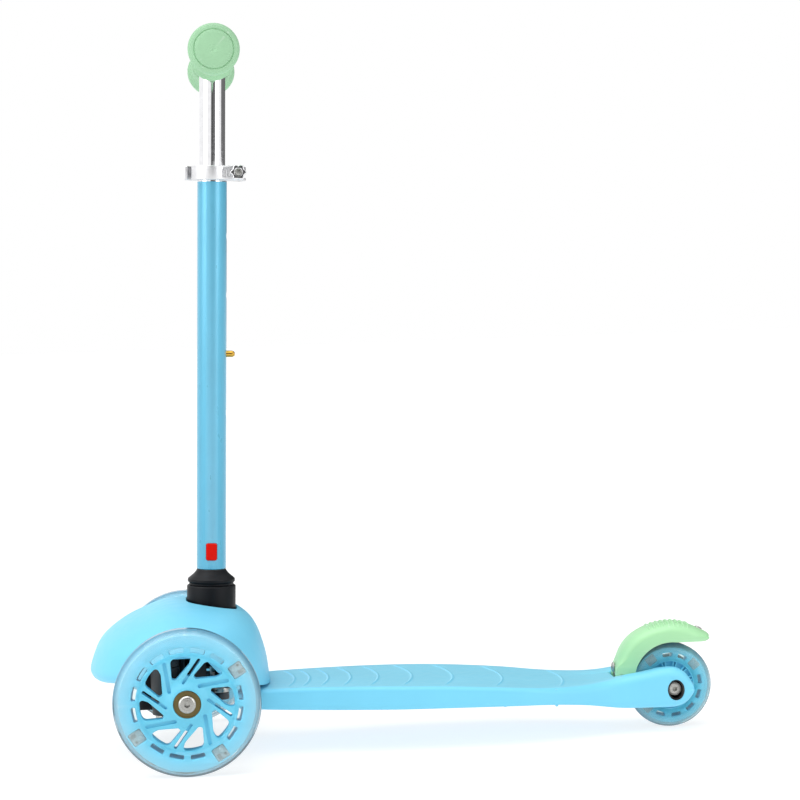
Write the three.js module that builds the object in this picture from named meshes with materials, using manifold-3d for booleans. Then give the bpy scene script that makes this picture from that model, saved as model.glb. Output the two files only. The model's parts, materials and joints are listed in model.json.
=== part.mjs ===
// Kids' three-wheel kick scooter: two front wheels, one rear wheel, and a T-bar that steers by leaning.
// Units are millimetres. +X points forward, +Y to the rider's left, +Z up.
// The origin is on the ground, under the middle of the scooter's bounding box.
import * as THREE from 'three';
import { mergeVertices } from 'three/addons/utils/BufferGeometryUtils.js';
import Module from 'manifold-3d';

const wasm = await Module();
wasm.setup();

// ---------------------------------------------------------------- driving dimensions

const GAP = 0.3; // running gap between neighbouring pieces

// Wheels: a cast polyurethane tyre round a moulded core that turns on two 608 bearings.
const FRONT_WHEEL = { radius: 60, rim: 55, lip: 39, segments: 28, windows: 8 };
const REAR_WHEEL = { radius: 36.5, rim: 32, lip: 21.5, segments: 24, windows: 6 };
const TYRE_HALF_WIDTH = 12;
const RIM_HALF_WIDTH = 7.5;
const HUB_HALF_WIDTH = 11.5;
const HUB_RADIUS = 15.5;
const BEARING = { outer: 11, inner: 4, width: 7 };
const FRONT_AXLE_X = 185.6;
const HALF_TRACK = 126;
const REAR_AXLE_X = -230.4;
const AXLE_RADIUS = 3.7;

// Stem: a plane tilted back a little, with its foot on the ground line.
const STEM_FOOT_X = 167.85;
const STEM_RAKE = THREE.MathUtils.degToRad(2.12);
const LEAN_AXIS_Z = 100;
const COLLAR_RADIUS = 20.75;
const COLLAR_TOP = 139.5;
const BELL_TOP = 153;
const LOWER_TUBE = { outer: 12.5, inner: 11.3, from: 153.4, to: 494 };
const UPPER_TUBE = { outer: 11, inner: 9.5, from: 300 };
const BAR_CENTRE = 583.3; // height of the crossbar along the stem
const BAR_HALF_LENGTH = 113;
const BUTTON = { width: 9.2, height: 14.4, centre: 168.6 };
const PIN_HEIGHT = 336.5; // height of the snap pin along the stem
const PIN_RADIUS = 2.8;
const HOLE_PITCH = 50; // distance between the height holes
const CLAMP = { centre: 489.6, height: 12, inner: 12.9, outer: 17.6, boltX: -21.9, leverY: -15.5 };

// Steering: kingpins ahead of the axles, arms pointing back to a flat tie bar.
const KINGPIN = { x: 203, y: 85, radius: 6 };
const TIE_BAR = { x: 158, halfWidth: 8, bottom: 61, top: 64.5 };

// Deck: outline stations [x, half width, top, bottom].
const DECK_STATIONS = [
  [146, 46, 55.2, 39.0],
  [118, 52, 55.3, 38.0],
  [85, 55.5, 55.7, 36.8],
  [42, 61, 55.4, 35.8],
  [8, 64.8, 54.6, 35.2],
  [-25, 66, 53.4, 34.8],
  [-60, 65.6, 51.2, 34.2],
  [-90, 63.5, 48.8, 33.4],
  [-115, 58.5, 46.4, 32.3],
  [-135, 52.5, 45.0, 30.6],
  [-155, 45.5, 45.0, 28.0],
  [-170, 40, 46.6, 25.4],
  [-179, 38, 48.2, 24.2],
];
const DECK_WALL = 3;
const DECK_EDGE_RADIUS = 4;
const FORK = { inner: 15, outer: 37, crestX: -223, top: 54.9, bottom: 21.3, endX: -246.6, endZ: 34.8 };

// Front housing: a bulbous cover. Its middle outline shrinks about CENTRE towards both sides.
const HOUSING = { halfWidth: 98, centreX: 190, centreZ: 85, wall: 2.8, roundness: 2.3 };

// Brake: a fender hinged between the fork arms, with a steel rubbing strip underneath.
const BRAKE_PIN = { x: -187.5, z: 45.5, radius: 2.5 };
const BRAKE_HALF_WIDTH = 18;
const BRAKE_BASE_HALF_WIDTH = 14.6;
const STRIP_INNER = 41;
const STRIP_OUTER = 42.4;

// ---------------------------------------------------------------- materials

function finish(color, roughness, metalness = 0) {
  return new THREE.MeshStandardMaterial({ color, roughness, metalness });
}

const bluePlastic = finish(0x86dcfb, 0.45);
const bluePaint = finish(0x62b4d4, 0.35, 0.2);
const blackNylon = finish(0x23262e, 0.5);
const mintRubber = finish(0xa9e3b4, 0.6);
const greenPlastic = finish(0xb4ebb4, 0.45);
const redPlastic = finish(0xe62a10, 0.35);
const clearUrethane = new THREE.MeshStandardMaterial({
  color: 0xd9f1f6,
  roughness: 0.15,
  transparent: true,
  opacity: 0.45,
});
const chrome = finish(0xe8e8ea, 0.08, 1);
const steel = finish(0xb9bbbd, 0.3, 1);
const springSteel = finish(0x8c8f93, 0.35, 1);
const aluminium = finish(0xd5d6d8, 0.25, 1);
const brass = finish(0xc9a04a, 0.3, 1);
const ledGrey = finish(0xb9c3c9, 0.3);

// ---------------------------------------------------------------- solids and shapes

// Turns a closed geometry into a solid, welding its vertices and dropping empty triangles.
function solid(geometry) {
  const bare = geometry.index ? geometry.toNonIndexed() : geometry.clone();
  bare.deleteAttribute('normal');
  bare.deleteAttribute('uv');
  const welded = mergeVertices(bare, 1e-4);
  const corners = welded.index.array;
  const kept = [];
  for (let i = 0; i < corners.length; i += 3) {
    const [a, b, c] = [corners[i], corners[i + 1], corners[i + 2]];
    if (a !== b && b !== c && c !== a) {
      kept.push(a, b, c);
    }
  }
  return new wasm.Manifold(new wasm.Mesh({
    numProp: 3,
    vertProperties: new Float32Array(welded.attributes.position.array),
    triVerts: new Uint32Array(kept),
  }));
}

function surface(body) {
  const mesh = body.getMesh();
  const geometry = new THREE.BufferGeometry();
  geometry.setAttribute('position', new THREE.BufferAttribute(mesh.vertProperties, 3));
  geometry.setIndex(new THREE.BufferAttribute(mesh.triVerts, 1));
  return geometry;
}

function join(...pieces) {
  return surface(pieces.map(solid).reduce((whole, piece) => whole.add(piece)));
}

function cut(base, ...tools) {
  return surface(tools.map(solid).reduce((rest, tool) => rest.subtract(tool), solid(base)));
}

function common(...pieces) {
  return surface(pieces.map(solid).reduce((shared, piece) => shared.intersect(piece)));
}

// Points a geometry built along +Y down another axis instead.
function along(geometry, axis) {
  if (axis === 'z') {
    geometry.rotateX(Math.PI / 2);
  }
  if (axis === 'x') {
    geometry.rotateZ(-Math.PI / 2);
  }
  return geometry;
}

// Revolves [radius, distance] points round an axis. The outside of the profile runs upwards.
function revolve(profile, axis, segments = 20) {
  const points = profile.map(([r, a]) => new THREE.Vector2(r, a));
  if (profile[0][0] > 0) {
    points.push(points[0].clone());
  }
  return along(new THREE.LatheGeometry(points, segments), axis);
}

function rod(radius, from, to, axis, segments = 12) {
  return revolve([[0, from], [radius, from], [radius, to], [0, to]], axis, segments);
}

function tube(outer, inner, from, to, axis, segments = 20) {
  return revolve([[inner, from], [outer, from], [outer, to], [inner, to]], axis, segments);
}

function box(x, y, z) {
  const geometry = new THREE.BoxGeometry(x[1] - x[0], y[1] - y[0], z[1] - z[0]);
  return geometry.translate((x[0] + x[1]) / 2, (y[0] + y[1]) / 2, (z[0] + z[1]) / 2);
}

// A span of y measured outwards from the middle plane, on the side that sign names.
function ySpan(sign, near, far) {
  return sign > 0 ? [near, far] : [-far, -near];
}

function toShape(outline) {
  if (outline instanceof THREE.Shape) {
    return outline;
  }
  return new THREE.Shape(outline.map(([a, b]) => new THREE.Vector2(a, b)));
}

function extrude(outline, depth, curveSegments = 6) {
  return new THREE.ExtrudeGeometry(toShape(outline), { depth, bevelEnabled: false, curveSegments });
}

// An outline of [x, z] points, thickened from one y to another.
function slabY(outline, from, to, curveSegments) {
  return extrude(outline, to - from, curveSegments).rotateX(Math.PI / 2).translate(0, to, 0);
}

// An outline of [x, y] points, thickened from one z to another.
function slabZ(outline, from, to, curveSegments) {
  return extrude(outline, to - from, curveSegments).translate(0, 0, from);
}

// A round wire along a path.
function wire(path, radius, steps, sides = 6) {
  const section = new THREE.Shape();
  for (let i = 0; i < sides; i += 1) {
    const angle = (i / sides) * 2 * Math.PI;
    const [a, b] = [radius * Math.cos(angle), radius * Math.sin(angle)];
    if (i === 0) {
      section.moveTo(a, b);
    } else {
      section.lineTo(a, b);
    }
  }
  return new THREE.ExtrudeGeometry(section, { steps, extrudePath: path, bevelEnabled: false });
}

// A skin over loops that all have the same number of points, closed with a fan at each end.
function loft(loops) {
  const count = loops[0].length;
  const positions = loops.flatMap((loop) => loop.flatMap((p) => [p.x, p.y, p.z]));
  const triangles = [];
  for (let k = 0; k + 1 < loops.length; k += 1) {
    for (let i = 0; i < count; i += 1) {
      const a = k * count + i;
      const b = k * count + ((i + 1) % count);
      triangles.push(a, b, a + count, b, b + count, a + count);
    }
  }
  const last = (loops.length - 1) * count;
  for (let i = 1; i + 1 < count; i += 1) {
    triangles.push(0, i + 1, i);
    triangles.push(last, last + i, last + i + 1);
  }
  const geometry = new THREE.BufferGeometry();
  geometry.setAttribute('position', new THREE.Float32BufferAttribute(positions, 3));
  geometry.setIndex(triangles);
  return geometry;
}

function named(name, geometry, material, position = [0, 0, 0]) {
  const mesh = new THREE.Mesh(surface(solid(geometry)), material);
  mesh.name = name;
  mesh.position.set(...position);
  return mesh;
}

const scooter = new THREE.Group();
const stem = new THREE.Group();
stem.position.set(STEM_FOOT_X, 0, 0);
stem.rotation.y = -STEM_RAKE;
scooter.add(stem);

// ---------------------------------------------------------------- wheels

function tyre(wheel) {
  const { radius, lip } = wheel;
  const cheek = RIM_HALF_WIDTH + GAP;
  const channel = wheel.rim + GAP;
  const half = TYRE_HALF_WIDTH;
  return revolve([
    [lip, -half + 1],
    [lip + 6, -half],
    [radius - 4, -half + 2],
    [radius, -4],
    [radius, 4],
    [radius - 4, half - 2],
    [lip + 6, half],
    [lip, half - 1],
    [lip, cheek],
    [channel, cheek],
    [channel, -cheek],
    [lip, -cheek],
  ], 'y', wheel.segments);
}

// A rounded triangular window between two spokes, skewed like the spokes.
function spokeWindow(wheel) {
  const spread = Math.PI / wheel.windows;
  const outer = wheel.lip - 2.5;
  const inner = HUB_RADIUS + 4;
  const at = (r, angle) => new THREE.Vector2(r * Math.cos(angle), r * Math.sin(angle));
  const corners = [at(outer, -0.62 * spread), at(outer, 0.62 * spread), at(inner, 0.35 * spread)];
  const window = new THREE.Shape();
  corners.forEach((corner, i) => {
    const before = corners[(i + 2) % 3];
    const after = corners[(i + 1) % 3];
    const start = corner.clone().lerp(before, 0.25);
    const end = corner.clone().lerp(after, 0.25);
    if (i === 0) {
      window.moveTo(start.x, start.y);
    } else {
      window.lineTo(start.x, start.y);
    }
    window.quadraticCurveTo(corner.x, corner.y, end.x, end.y);
  });
  return slabY(window, -HUB_HALF_WIDTH, HUB_HALF_WIDTH, 2);
}

const LED_ANGLES = [148, 238, 328]; // degrees about the axle, from forwards over the top
const LED = { radius: 48.5, radial: 10, across: 10.6, halfDepth: 6.8 };

function wheelCore(wheel) {
  const seat = BEARING.outer + GAP;
  const body = revolve([
    [seat, -HUB_HALF_WIDTH],
    [HUB_RADIUS, -HUB_HALF_WIDTH],
    [HUB_RADIUS + 1.5, -RIM_HALF_WIDTH],
    [wheel.rim, -RIM_HALF_WIDTH],
    [wheel.rim, RIM_HALF_WIDTH],
    [HUB_RADIUS + 1.5, RIM_HALF_WIDTH],
    [HUB_RADIUS, HUB_HALF_WIDTH],
    [seat, HUB_HALF_WIDTH],
  ], 'y', wheel.segments);
  const openings = [];
  for (let i = 0; i < wheel.windows; i += 1) {
    openings.push(spokeWindow(wheel).rotateY((i / wheel.windows) * 2 * Math.PI));
  }
  if (wheel === FRONT_WHEEL) {
    for (const angle of LED_ANGLES) {
      openings.push(ledBlock(2 * GAP, RIM_HALF_WIDTH + 1).rotateY(THREE.MathUtils.degToRad(-angle)));
    }
  }
  return cut(body, ...openings);
}

function ledBlock(growth, halfDepth) {
  const radial = LED.radial / 2 + growth;
  const across = LED.across / 2 + growth;
  return box([LED.radius - radial, LED.radius + radial], [-halfDepth, halfDepth], [-across, across]);
}

function bearing() {
  return tube(BEARING.outer, BEARING.inner, -BEARING.width / 2, BEARING.width / 2, 'y', 12);
}

// A wheel with its bearings. Its outer side faces +Y on the left and -Y on the right.
function addWheel(label, wheel, x, y, withLeds) {
  const centre = [x, y, wheel.radius];
  const bearingY = HUB_HALF_WIDTH - BEARING.width / 2;
  scooter.add(named(`${label}_tyre`, tyre(wheel), clearUrethane, centre));
  scooter.add(named(`${label}_wheel_core`, wheelCore(wheel), bluePlastic, centre));
  for (const [side, sign] of [['left', 1], ['right', -1]]) {
    const place = [x, y + sign * bearingY, wheel.radius];
    scooter.add(named(`${label}_bearing_${side}`, bearing(), steel, place));
  }
  if (withLeds) {
    LED_ANGLES.forEach((angle, i) => {
      const block = ledBlock(0, LED.halfDepth).rotateY(THREE.MathUtils.degToRad(-angle));
      scooter.add(named(`${label}_led_module_${i + 1}`, block, ledGrey, centre));
    });
  }
}

addWheel('front_left', FRONT_WHEEL, FRONT_AXLE_X, HALF_TRACK, true);
addWheel('front_right', FRONT_WHEEL, FRONT_AXLE_X, -HALF_TRACK, true);
addWheel('rear', REAR_WHEEL, REAR_AXLE_X, 0, false);

// ---------------------------------------------------------------- steering knuckles

// The shapes below are for the left side, and the right side mirrors them in the XZ plane.
const ARM = { bottom: 55, top: 60.6, halfWidth: 6.5 };
const BARREL = { radius: 12, bottom: 51, top: 83.6 };
const TIE_SCREW = { shank: 2.7, head: 5.5, bottom: 56.3, top: 67.8 };
const HUB_FACE_Y = HALF_TRACK - HUB_HALF_WIDTH;

function knuckle(sign) {
  const axleZ = FRONT_WHEEL.radius;
  const barrel = rod(BARREL.radius, BARREL.bottom, BARREL.top, 'z', 20)
    .translate(KINGPIN.x, sign * KINGPIN.y, 0);
  const span = (near, far) => ySpan(sign, near, far);
  const [bossFrom, bossTo] = span(KINGPIN.y, HUB_FACE_Y - 2.5);
  const boss = rod(8.5, bossFrom, bossTo, 'y', 12).translate(FRONT_AXLE_X, 0, axleZ);
  const [noseFrom, noseTo] = span(KINGPIN.y + 5, HUB_FACE_Y - GAP);
  const nose = rod(6.2, noseFrom, noseTo, 'y', 12).translate(FRONT_AXLE_X, 0, axleZ);
  const web = box([FRONT_AXLE_X, KINGPIN.x], span(KINGPIN.y, KINGPIN.y + 12), [53, 68]);
  const armWidth = span(KINGPIN.y - ARM.halfWidth, KINGPIN.y + ARM.halfWidth);
  const arm = box([TIE_BAR.x, KINGPIN.x], armWidth, [ARM.bottom, ARM.top]);
  const eye = rod(7, ARM.bottom, ARM.top, 'z', 12).translate(TIE_BAR.x, sign * KINGPIN.y, 0);
  const body = join(barrel, boss, nose, web, arm, eye);
  const kingpinBore = rod(KINGPIN.radius + GAP, 40, 95, 'z', 20)
    .translate(KINGPIN.x, sign * KINGPIN.y, 0);
  const screwBore = rod(TIE_SCREW.shank + GAP, TIE_SCREW.bottom - GAP, 70, 'z', 12)
    .translate(TIE_BAR.x, sign * KINGPIN.y, 0);
  const [boreFrom, boreTo] = span(KINGPIN.y + 5, HUB_FACE_Y + 5);
  const axleBore = rod(AXLE_RADIUS + GAP, boreFrom, boreTo, 'y', 12).translate(FRONT_AXLE_X, 0, axleZ);
  return cut(body, kingpinBore, screwBore, axleBore);
}

// The axle bolt: a flanged head outside the wheel, and a shank that ends inside the knuckle's boss.
function frontAxleBolt(sign) {
  const profile = [
    [0, KINGPIN.y + 5 + GAP],
    [AXLE_RADIUS, KINGPIN.y + 5 + GAP],
    [AXLE_RADIUS, HALF_TRACK + HUB_HALF_WIDTH + GAP],
    [6.7, HALF_TRACK + HUB_HALF_WIDTH + GAP],
    [6.7, HALF_TRACK + HUB_HALF_WIDTH + 1],
    [5.2, HALF_TRACK + HUB_HALF_WIDTH + 2],
    [0, HALF_TRACK + HUB_HALF_WIDTH + 2],
  ];
  const bolt = revolve(profile, 'y', 12).translate(FRONT_AXLE_X, 0, FRONT_WHEEL.radius);
  return sign > 0 ? bolt : bolt.rotateZ(Math.PI).translate(2 * FRONT_AXLE_X, 0, 0);
}

function tieScrew(sign) {
  const neck = TIE_BAR.top + GAP;
  return revolve([
    [0, TIE_SCREW.bottom],
    [TIE_SCREW.shank, TIE_SCREW.bottom],
    [TIE_SCREW.shank, neck],
    [TIE_SCREW.head, neck],
    [TIE_SCREW.head, TIE_SCREW.top - 1],
    [TIE_SCREW.head - 1.5, TIE_SCREW.top],
    [0, TIE_SCREW.top],
  ], 'z', 12).translate(TIE_BAR.x, sign * KINGPIN.y, 0);
}

for (const [side, sign] of [['left', 1], ['right', -1]]) {
  scooter.add(named(`${side}_knuckle`, knuckle(sign), blackNylon));
  scooter.add(named(`${side}_axle_bolt`, frontAxleBolt(sign), steel));
  scooter.add(named(`${side}_tie_screw`, tieScrew(sign), steel));
}

// Flat bar with a round eye at each end and a slot in the middle for the steering pin.
const STEERING_PIN_RADIUS = 4;

function tieBar() {
  const { x, halfWidth, bottom, top } = TIE_BAR;
  const length = KINGPIN.y;
  const strip = box([x - halfWidth, x + halfWidth], [-length, length], [bottom, top]);
  const eyes = [-length, length].map((y) => rod(halfWidth, bottom, top, 'z', 12).translate(x, y, 0));
  const hole = (y) => rod(TIE_SCREW.shank + GAP, bottom - 1, top + 1, 'z', 12).translate(x, y, 0);
  const slotHalf = STEERING_PIN_RADIUS + 0.5;
  const slot = box([x - slotHalf - 1, x + slotHalf + 1], [-slotHalf, slotHalf], [bottom - 1, top + 1]);
  return cut(join(strip, ...eyes), hole(-length), hole(length), slot);
}

scooter.add(named('tie_bar', tieBar(), steel));

// ---------------------------------------------------------------- front truck

const BEAM = { back: 187, front: 228, halfWidth: 72, bottom: 46, top: 88, wall: 4 };
const LUG = { radius: 11.5, upper: [84, 90], lower: [44.5, 50.5] };
const TONGUE = { back: 126.3, halfWidth: 36, bottom: 55.8, top: 59.8 };
const EAR = { halfWidth: 10, top: 107.5, rear: [136, 142], front: [183.3, 189.3] };
const SPRING_POST = { x: [169, 183], y: [34, 39], top: 89 };
const LEAN_BOLT_RADIUS = 5;
const DECK_SCREW = { x: 131, y: 29, bore: 2.5 + GAP };

// The black nylon truck: a hollow beam across the nose, kingpin lugs, pivot ears and a deck tongue.
function frontTruck() {
  const { back, front, halfWidth, bottom, top, wall } = BEAM;
  const beam = box([back, front], [-halfWidth, halfWidth], [bottom, top]);
  const inside = halfWidth - wall;
  const hollow = box([back + wall, front - wall], [-inside, inside], [bottom - 1, top - wall]);
  const channel = cut(beam, hollow);
  const { x, y } = KINGPIN;
  const lugs = [-1, 1].flatMap((sign) => [LUG.upper, LUG.lower].flatMap(([low, high]) => [
    rod(LUG.radius, low, high, 'z', 20).translate(x, sign * y, 0),
    box([x - LUG.radius, x + LUG.radius], ySpan(sign, halfWidth - 3, y), [low, high]),
  ]));
  const tongueWidth = [-TONGUE.halfWidth, TONGUE.halfWidth];
  const tongue = box([TONGUE.back, back + 3], tongueWidth, [TONGUE.bottom, TONGUE.top]);
  const ears = [EAR.rear, EAR.front].map((span) => box(span, [-EAR.halfWidth, EAR.halfWidth],
    [TONGUE.bottom, EAR.top]));
  const [postIn, postOut] = SPRING_POST.y;
  const posts = [[postIn, postOut], [-postOut, -postIn]].map((span) => box(SPRING_POST.x, span,
    [TONGUE.bottom, SPRING_POST.top]));
  const body = join(channel, ...lugs, tongue, ...ears, ...posts);
  const kingpinBore = (side) => rod(KINGPIN.radius + GAP, 40, 95, 'z', 20).translate(x, side, 0);
  const leanBore = rod(LEAN_BOLT_RADIUS + GAP, 130, 195, 'x', 12).translate(0, 0, LEAN_AXIS_Z);
  const screwBores = [-1, 1].map((sign) => rod(DECK_SCREW.bore, 50, 64, 'z', 12)
    .translate(DECK_SCREW.x, sign * DECK_SCREW.y, 0));
  return cut(body, kingpinBore(-y), kingpinBore(y), leanBore, ...screwBores);
}

function kingpin() {
  return revolve([
    [0, 41],
    [9, 41],
    [9, LUG.lower[0] - GAP],
    [KINGPIN.radius, LUG.lower[0] - GAP],
    [KINGPIN.radius, LUG.upper[1] + GAP],
    [7.5, LUG.upper[1] + GAP],
    [7.5, 92.5],
    [0, 92.5],
  ], 'z', 12);
}

// The bolt that the steering head leans on, with its head at the back and its nut at the front.
function leanBolt() {
  return revolve([
    [0, 131.8],
    [7, 131.8],
    [7, EAR.rear[0] - GAP],
    [LEAN_BOLT_RADIUS, EAR.rear[0] - GAP],
    [LEAN_BOLT_RADIUS, EAR.front[1] + GAP],
    [8, EAR.front[1] + GAP],
    [8, 195],
    [0, 195],
  ], 'x', 12).translate(0, 0, LEAN_AXIS_Z);
}

class Helix extends THREE.Curve {
  constructor(radius, length, turns) {
    super();
    Object.assign(this, { radius, length, turns });
  }

  getPoint(t) {
    const angle = 2 * Math.PI * this.turns * t;
    return new THREE.Vector3(this.radius * Math.cos(angle), this.length * t, this.radius * Math.sin(angle));
  }
}

// A coil spring whose axis is +Y, from y = 0.
function coilSpring(radius, length, turns, wireRadius, stepsPerTurn = 7) {
  return wire(new Helix(radius, length, turns), wireRadius, turns * stepsPerTurn, 4);
}

const CENTRING_SPRING = { x: 176, z: 80, radius: 6, wire: 1.1, turns: 4 };

scooter.add(named('front_truck', frontTruck(), blackNylon));
for (const [side, sign] of [['left', 1], ['right', -1]]) {
  scooter.add(named(`${side}_kingpin`, kingpin(), steel, [KINGPIN.x, sign * KINGPIN.y, 0]));
  const { x, z, radius, wire: wireRadius, turns } = CENTRING_SPRING;
  const from = 9 + GAP + wireRadius;
  const to = SPRING_POST.y[0] - GAP - wireRadius;
  const spring = coilSpring(radius, to - from, turns, wireRadius).translate(0, from, 0);
  const placed = sign > 0 ? spring : spring.rotateZ(Math.PI);
  scooter.add(named(`${side}_centring_spring`, placed, springSteel, [x, 0, z]));
  const deckScrew = revolve([
    [0, 46],
    [2.5, 46],
    [2.5, TONGUE.top + GAP],
    [5, TONGUE.top + GAP],
    [5, TONGUE.top + 3],
    [0, TONGUE.top + 3],
  ], 'z', 12);
  scooter.add(named(`${side}_deck_screw`, deckScrew, steel, [DECK_SCREW.x, sign * DECK_SCREW.y, 0]));
}
scooter.add(named('lean_bolt', leanBolt(), steel));

// ---------------------------------------------------------------- front housing

// Middle outline of the housing, [x, z], from the deck up over the stem and down to the nose.
const HOUSING_OUTLINE = [
  [114.9, 56.2],
  [117, 76],
  [120.3, 90],
  [124.8, 102.5],
  [130.9, 111.5],
  [140.8, 119.2],
  [155, 124],
  [172, 127],
  [190, 127.9],
  [205, 126.2],
  [220, 120.8],
  [235.5, 114],
  [250, 104.1],
  [258.5, 95.2],
  [263.5, 84.6],
  [266.7, 74.5],
  [265.8, 69.4],
  [262.4, 66],
  [257, 64.4],
  [245, 63.6],
  [232, 57.5],
];

// The outline shrinks towards the sides as a superellipse. inset thins it by the wall.
function housingBulk(inset, slices = 14) {
  const { halfWidth, centreX, centreZ, roundness } = HOUSING;
  const loops = [];
  for (let k = 0; k <= slices; k += 1) {
    const y = Math.sin((k / slices - 0.5) * Math.PI);
    const shrink = Math.max(0, 1 - Math.abs(y) ** roundness) ** (1 / roundness);
    loops.push(HOUSING_OUTLINE.map(([x, z]) => {
      const arm = new THREE.Vector2(x - centreX, z - centreZ);
      arm.setLength(arm.length() - inset).multiplyScalar(shrink);
      return new THREE.Vector3(centreX + arm.x, y * (halfWidth - inset), centreZ + arm.y);
    }));
  }
  return loft(loops);
}

// Openings under the housing: an arch over the truck, and the gap where the deck comes in.
const ARCH = [
  [126, 40],
  [126, 61.5],
  [146, 66],
  [160, 78],
  [171, 91],
  [222, 91],
  [232, 78],
  [238, 40],
];

function stemOpening() {
  const swing = 6;
  const radius = COLLAR_RADIUS + 0.8;
  const x = STEM_FOOT_X - 125 * Math.tan(STEM_RAKE);
  const slot = new THREE.Shape();
  slot.absarc(x, swing, radius, 0, Math.PI);
  slot.absarc(x, -swing, radius, Math.PI, 2 * Math.PI);
  return slabZ(slot, 108, 140, 10);
}

function frontHousing() {
  return cut(housingBulk(0), housingBulk(HOUSING.wall), slabY(ARCH, -110, 110), stemOpening());
}

scooter.add(named('front_housing', frontHousing(), bluePlastic));

// ---------------------------------------------------------------- deck

// One cross-section of the deck as a loop: flat sides, rounded top edges. inset thins it.
function deckSection([x, halfWidth, top, bottom], inset, floor) {
  const w = halfWidth - inset;
  const z = top - inset;
  const r = Math.max(1, DECK_EDGE_RADIUS - inset);
  const low = floor === undefined ? bottom : floor;
  const loop = [[-w, low]];
  for (let i = 0; i <= 2; i += 1) {
    const angle = (i / 2) * (Math.PI / 2);
    loop.push([-w + r * (1 - Math.cos(angle)), z - r * (1 - Math.sin(angle))]);
  }
  for (let i = 2; i >= 0; i -= 1) {
    const angle = (i / 2) * (Math.PI / 2);
    loop.push([w - r * (1 - Math.cos(angle)), z - r * (1 - Math.sin(angle))]);
  }
  loop.push([w, low]);
  return loop.map(([y, height]) => new THREE.Vector3(x, y, height));
}

// Side outline of a fork arm: it climbs to a crest over the axle and closes in a rounded nose.
function forkOutline() {
  const { crestX, top, bottom, endX, endZ } = FORK;
  const arm = new THREE.Shape();
  arm.moveTo(-172, 25.2);
  arm.lineTo(-172, 47.4);
  arm.lineTo(-190, 50.3);
  arm.quadraticCurveTo(-206, top, crestX, top);
  arm.bezierCurveTo(crestX - 11, top, endX, endZ + 8, endX, endZ);
  arm.bezierCurveTo(endX, endZ - 5, crestX - 12, bottom, crestX, bottom);
  arm.lineTo(-190, 22.2);
  return arm;
}

// The black cup that lines the axle recess is an oval, taller than it is wide.
const CUP = { halfWidth: 7, halfHeight: 8.5, floor: 20, mouth: 36.4, wall: 1 };

function oval(growth, from, to) {
  const outline = new THREE.Shape();
  const [across, up] = [CUP.halfWidth + growth, CUP.halfHeight + growth];
  outline.absellipse(REAR_AXLE_X, REAR_WHEEL.radius, across, up, 0, 2 * Math.PI);
  return slabY(outline, from, to, 8);
}

function forkArm(sign) {
  const span = (near, far) => ySpan(sign, near, far);
  const arm = slabY(forkOutline(), ...span(FORK.inner, FORK.outer), 8);
  const pad = rod(6.5, ...span(HUB_HALF_WIDTH + GAP, FORK.inner + 1), 'y', 12)
    .translate(REAR_AXLE_X, 0, REAR_WHEEL.radius);
  const recess = oval(GAP, ...span(CUP.floor - GAP, FORK.outer + 1));
  const bore = rod(AXLE_RADIUS + GAP, ...span(10, FORK.outer), 'y', 12)
    .translate(REAR_AXLE_X, 0, REAR_WHEEL.radius);
  const pinBore = rod(BRAKE_PIN.radius + GAP, ...span(FORK.inner - 1, 24), 'y', 12)
    .translate(BRAKE_PIN.x, 0, BRAKE_PIN.z);
  return cut(join(arm, pad), recess, bore, pinBore);
}

const RIB_X = [100, 55, 10, -35, -80, -125];
const RIB_HEIGHT = 13.5;

function deckShell() {
  const bulk = loft(DECK_STATIONS.map((station) => deckSection(station, 0)));
  const ends = DECK_STATIONS.map(([x, ...rest], i) => {
    if (i === 0) {
      return [x - DECK_WALL, ...rest];
    }
    return i === DECK_STATIONS.length - 1 ? [x + DECK_WALL, ...rest] : [x, ...rest];
  });
  const hollow = loft(ends.map((station) => deckSection(station, DECK_WALL, 15)));
  const crossRibs = RIB_X.map((x) => box([x - 1, x + 1], [-70, 70], [30, 60]));
  const longRibs = [-20, 20].map((y) => box([-178, 145], [y - 1, y + 1], [30, 60]));
  const ribRoom = loft(ends.map(([x, width, top]) => {
    const ribBottom = top - DECK_WALL - RIB_HEIGHT;
    return deckSection([x, width, top, 0], DECK_WALL - 0.5, ribBottom);
  }));
  const ribs = common(join(...crossRibs, ...longRibs), ribRoom);
  const channel = join(cut(bulk, hollow), ribs);
  const arms = [-1, 1].map(forkArm);
  const tailWall = box([-180.5, -170], [-FORK.outer + 1, FORK.outer - 1], [25.4, 46.4]);
  const screwBores = [-1, 1].map((sign) => rod(DECK_SCREW.bore, 40, 60, 'z', 12)
    .translate(DECK_SCREW.x, sign * DECK_SCREW.y, 0));
  return cut(join(channel, ...arms, tailWall), ...screwBores);
}

scooter.add(named('deck_shell', deckShell(), bluePlastic));

function axleCup(sign) {
  const span = (near, far) => ySpan(sign, near, far);
  const cup = oval(0, ...span(CUP.floor, CUP.mouth));
  const inside = oval(-CUP.wall, ...span(CUP.floor + 2, CUP.mouth + 1));
  const bore = rod(AXLE_RADIUS + GAP, ...span(10, 40), 'y', 12)
    .translate(REAR_AXLE_X, 0, REAR_WHEEL.radius);
  return cut(cup, inside, bore);
}

function rearAxleBolt() {
  const seat = CUP.floor + 2 + GAP;
  return revolve([
    [0, -seat - 3],
    [AXLE_RADIUS, -seat - 3],
    [AXLE_RADIUS, seat],
    [5.2, seat],
    [5.2, seat + 2.6],
    [4, seat + 3.6],
    [0, seat + 3.6],
  ], 'y', 12);
}

function rearAxleNut() {
  const seat = CUP.floor + 2 + GAP;
  return cut(rod(5.6, -seat - 5, -seat, 'y', 6), rod(AXLE_RADIUS + GAP, -40, 0, 'y', 12));
}

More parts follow.
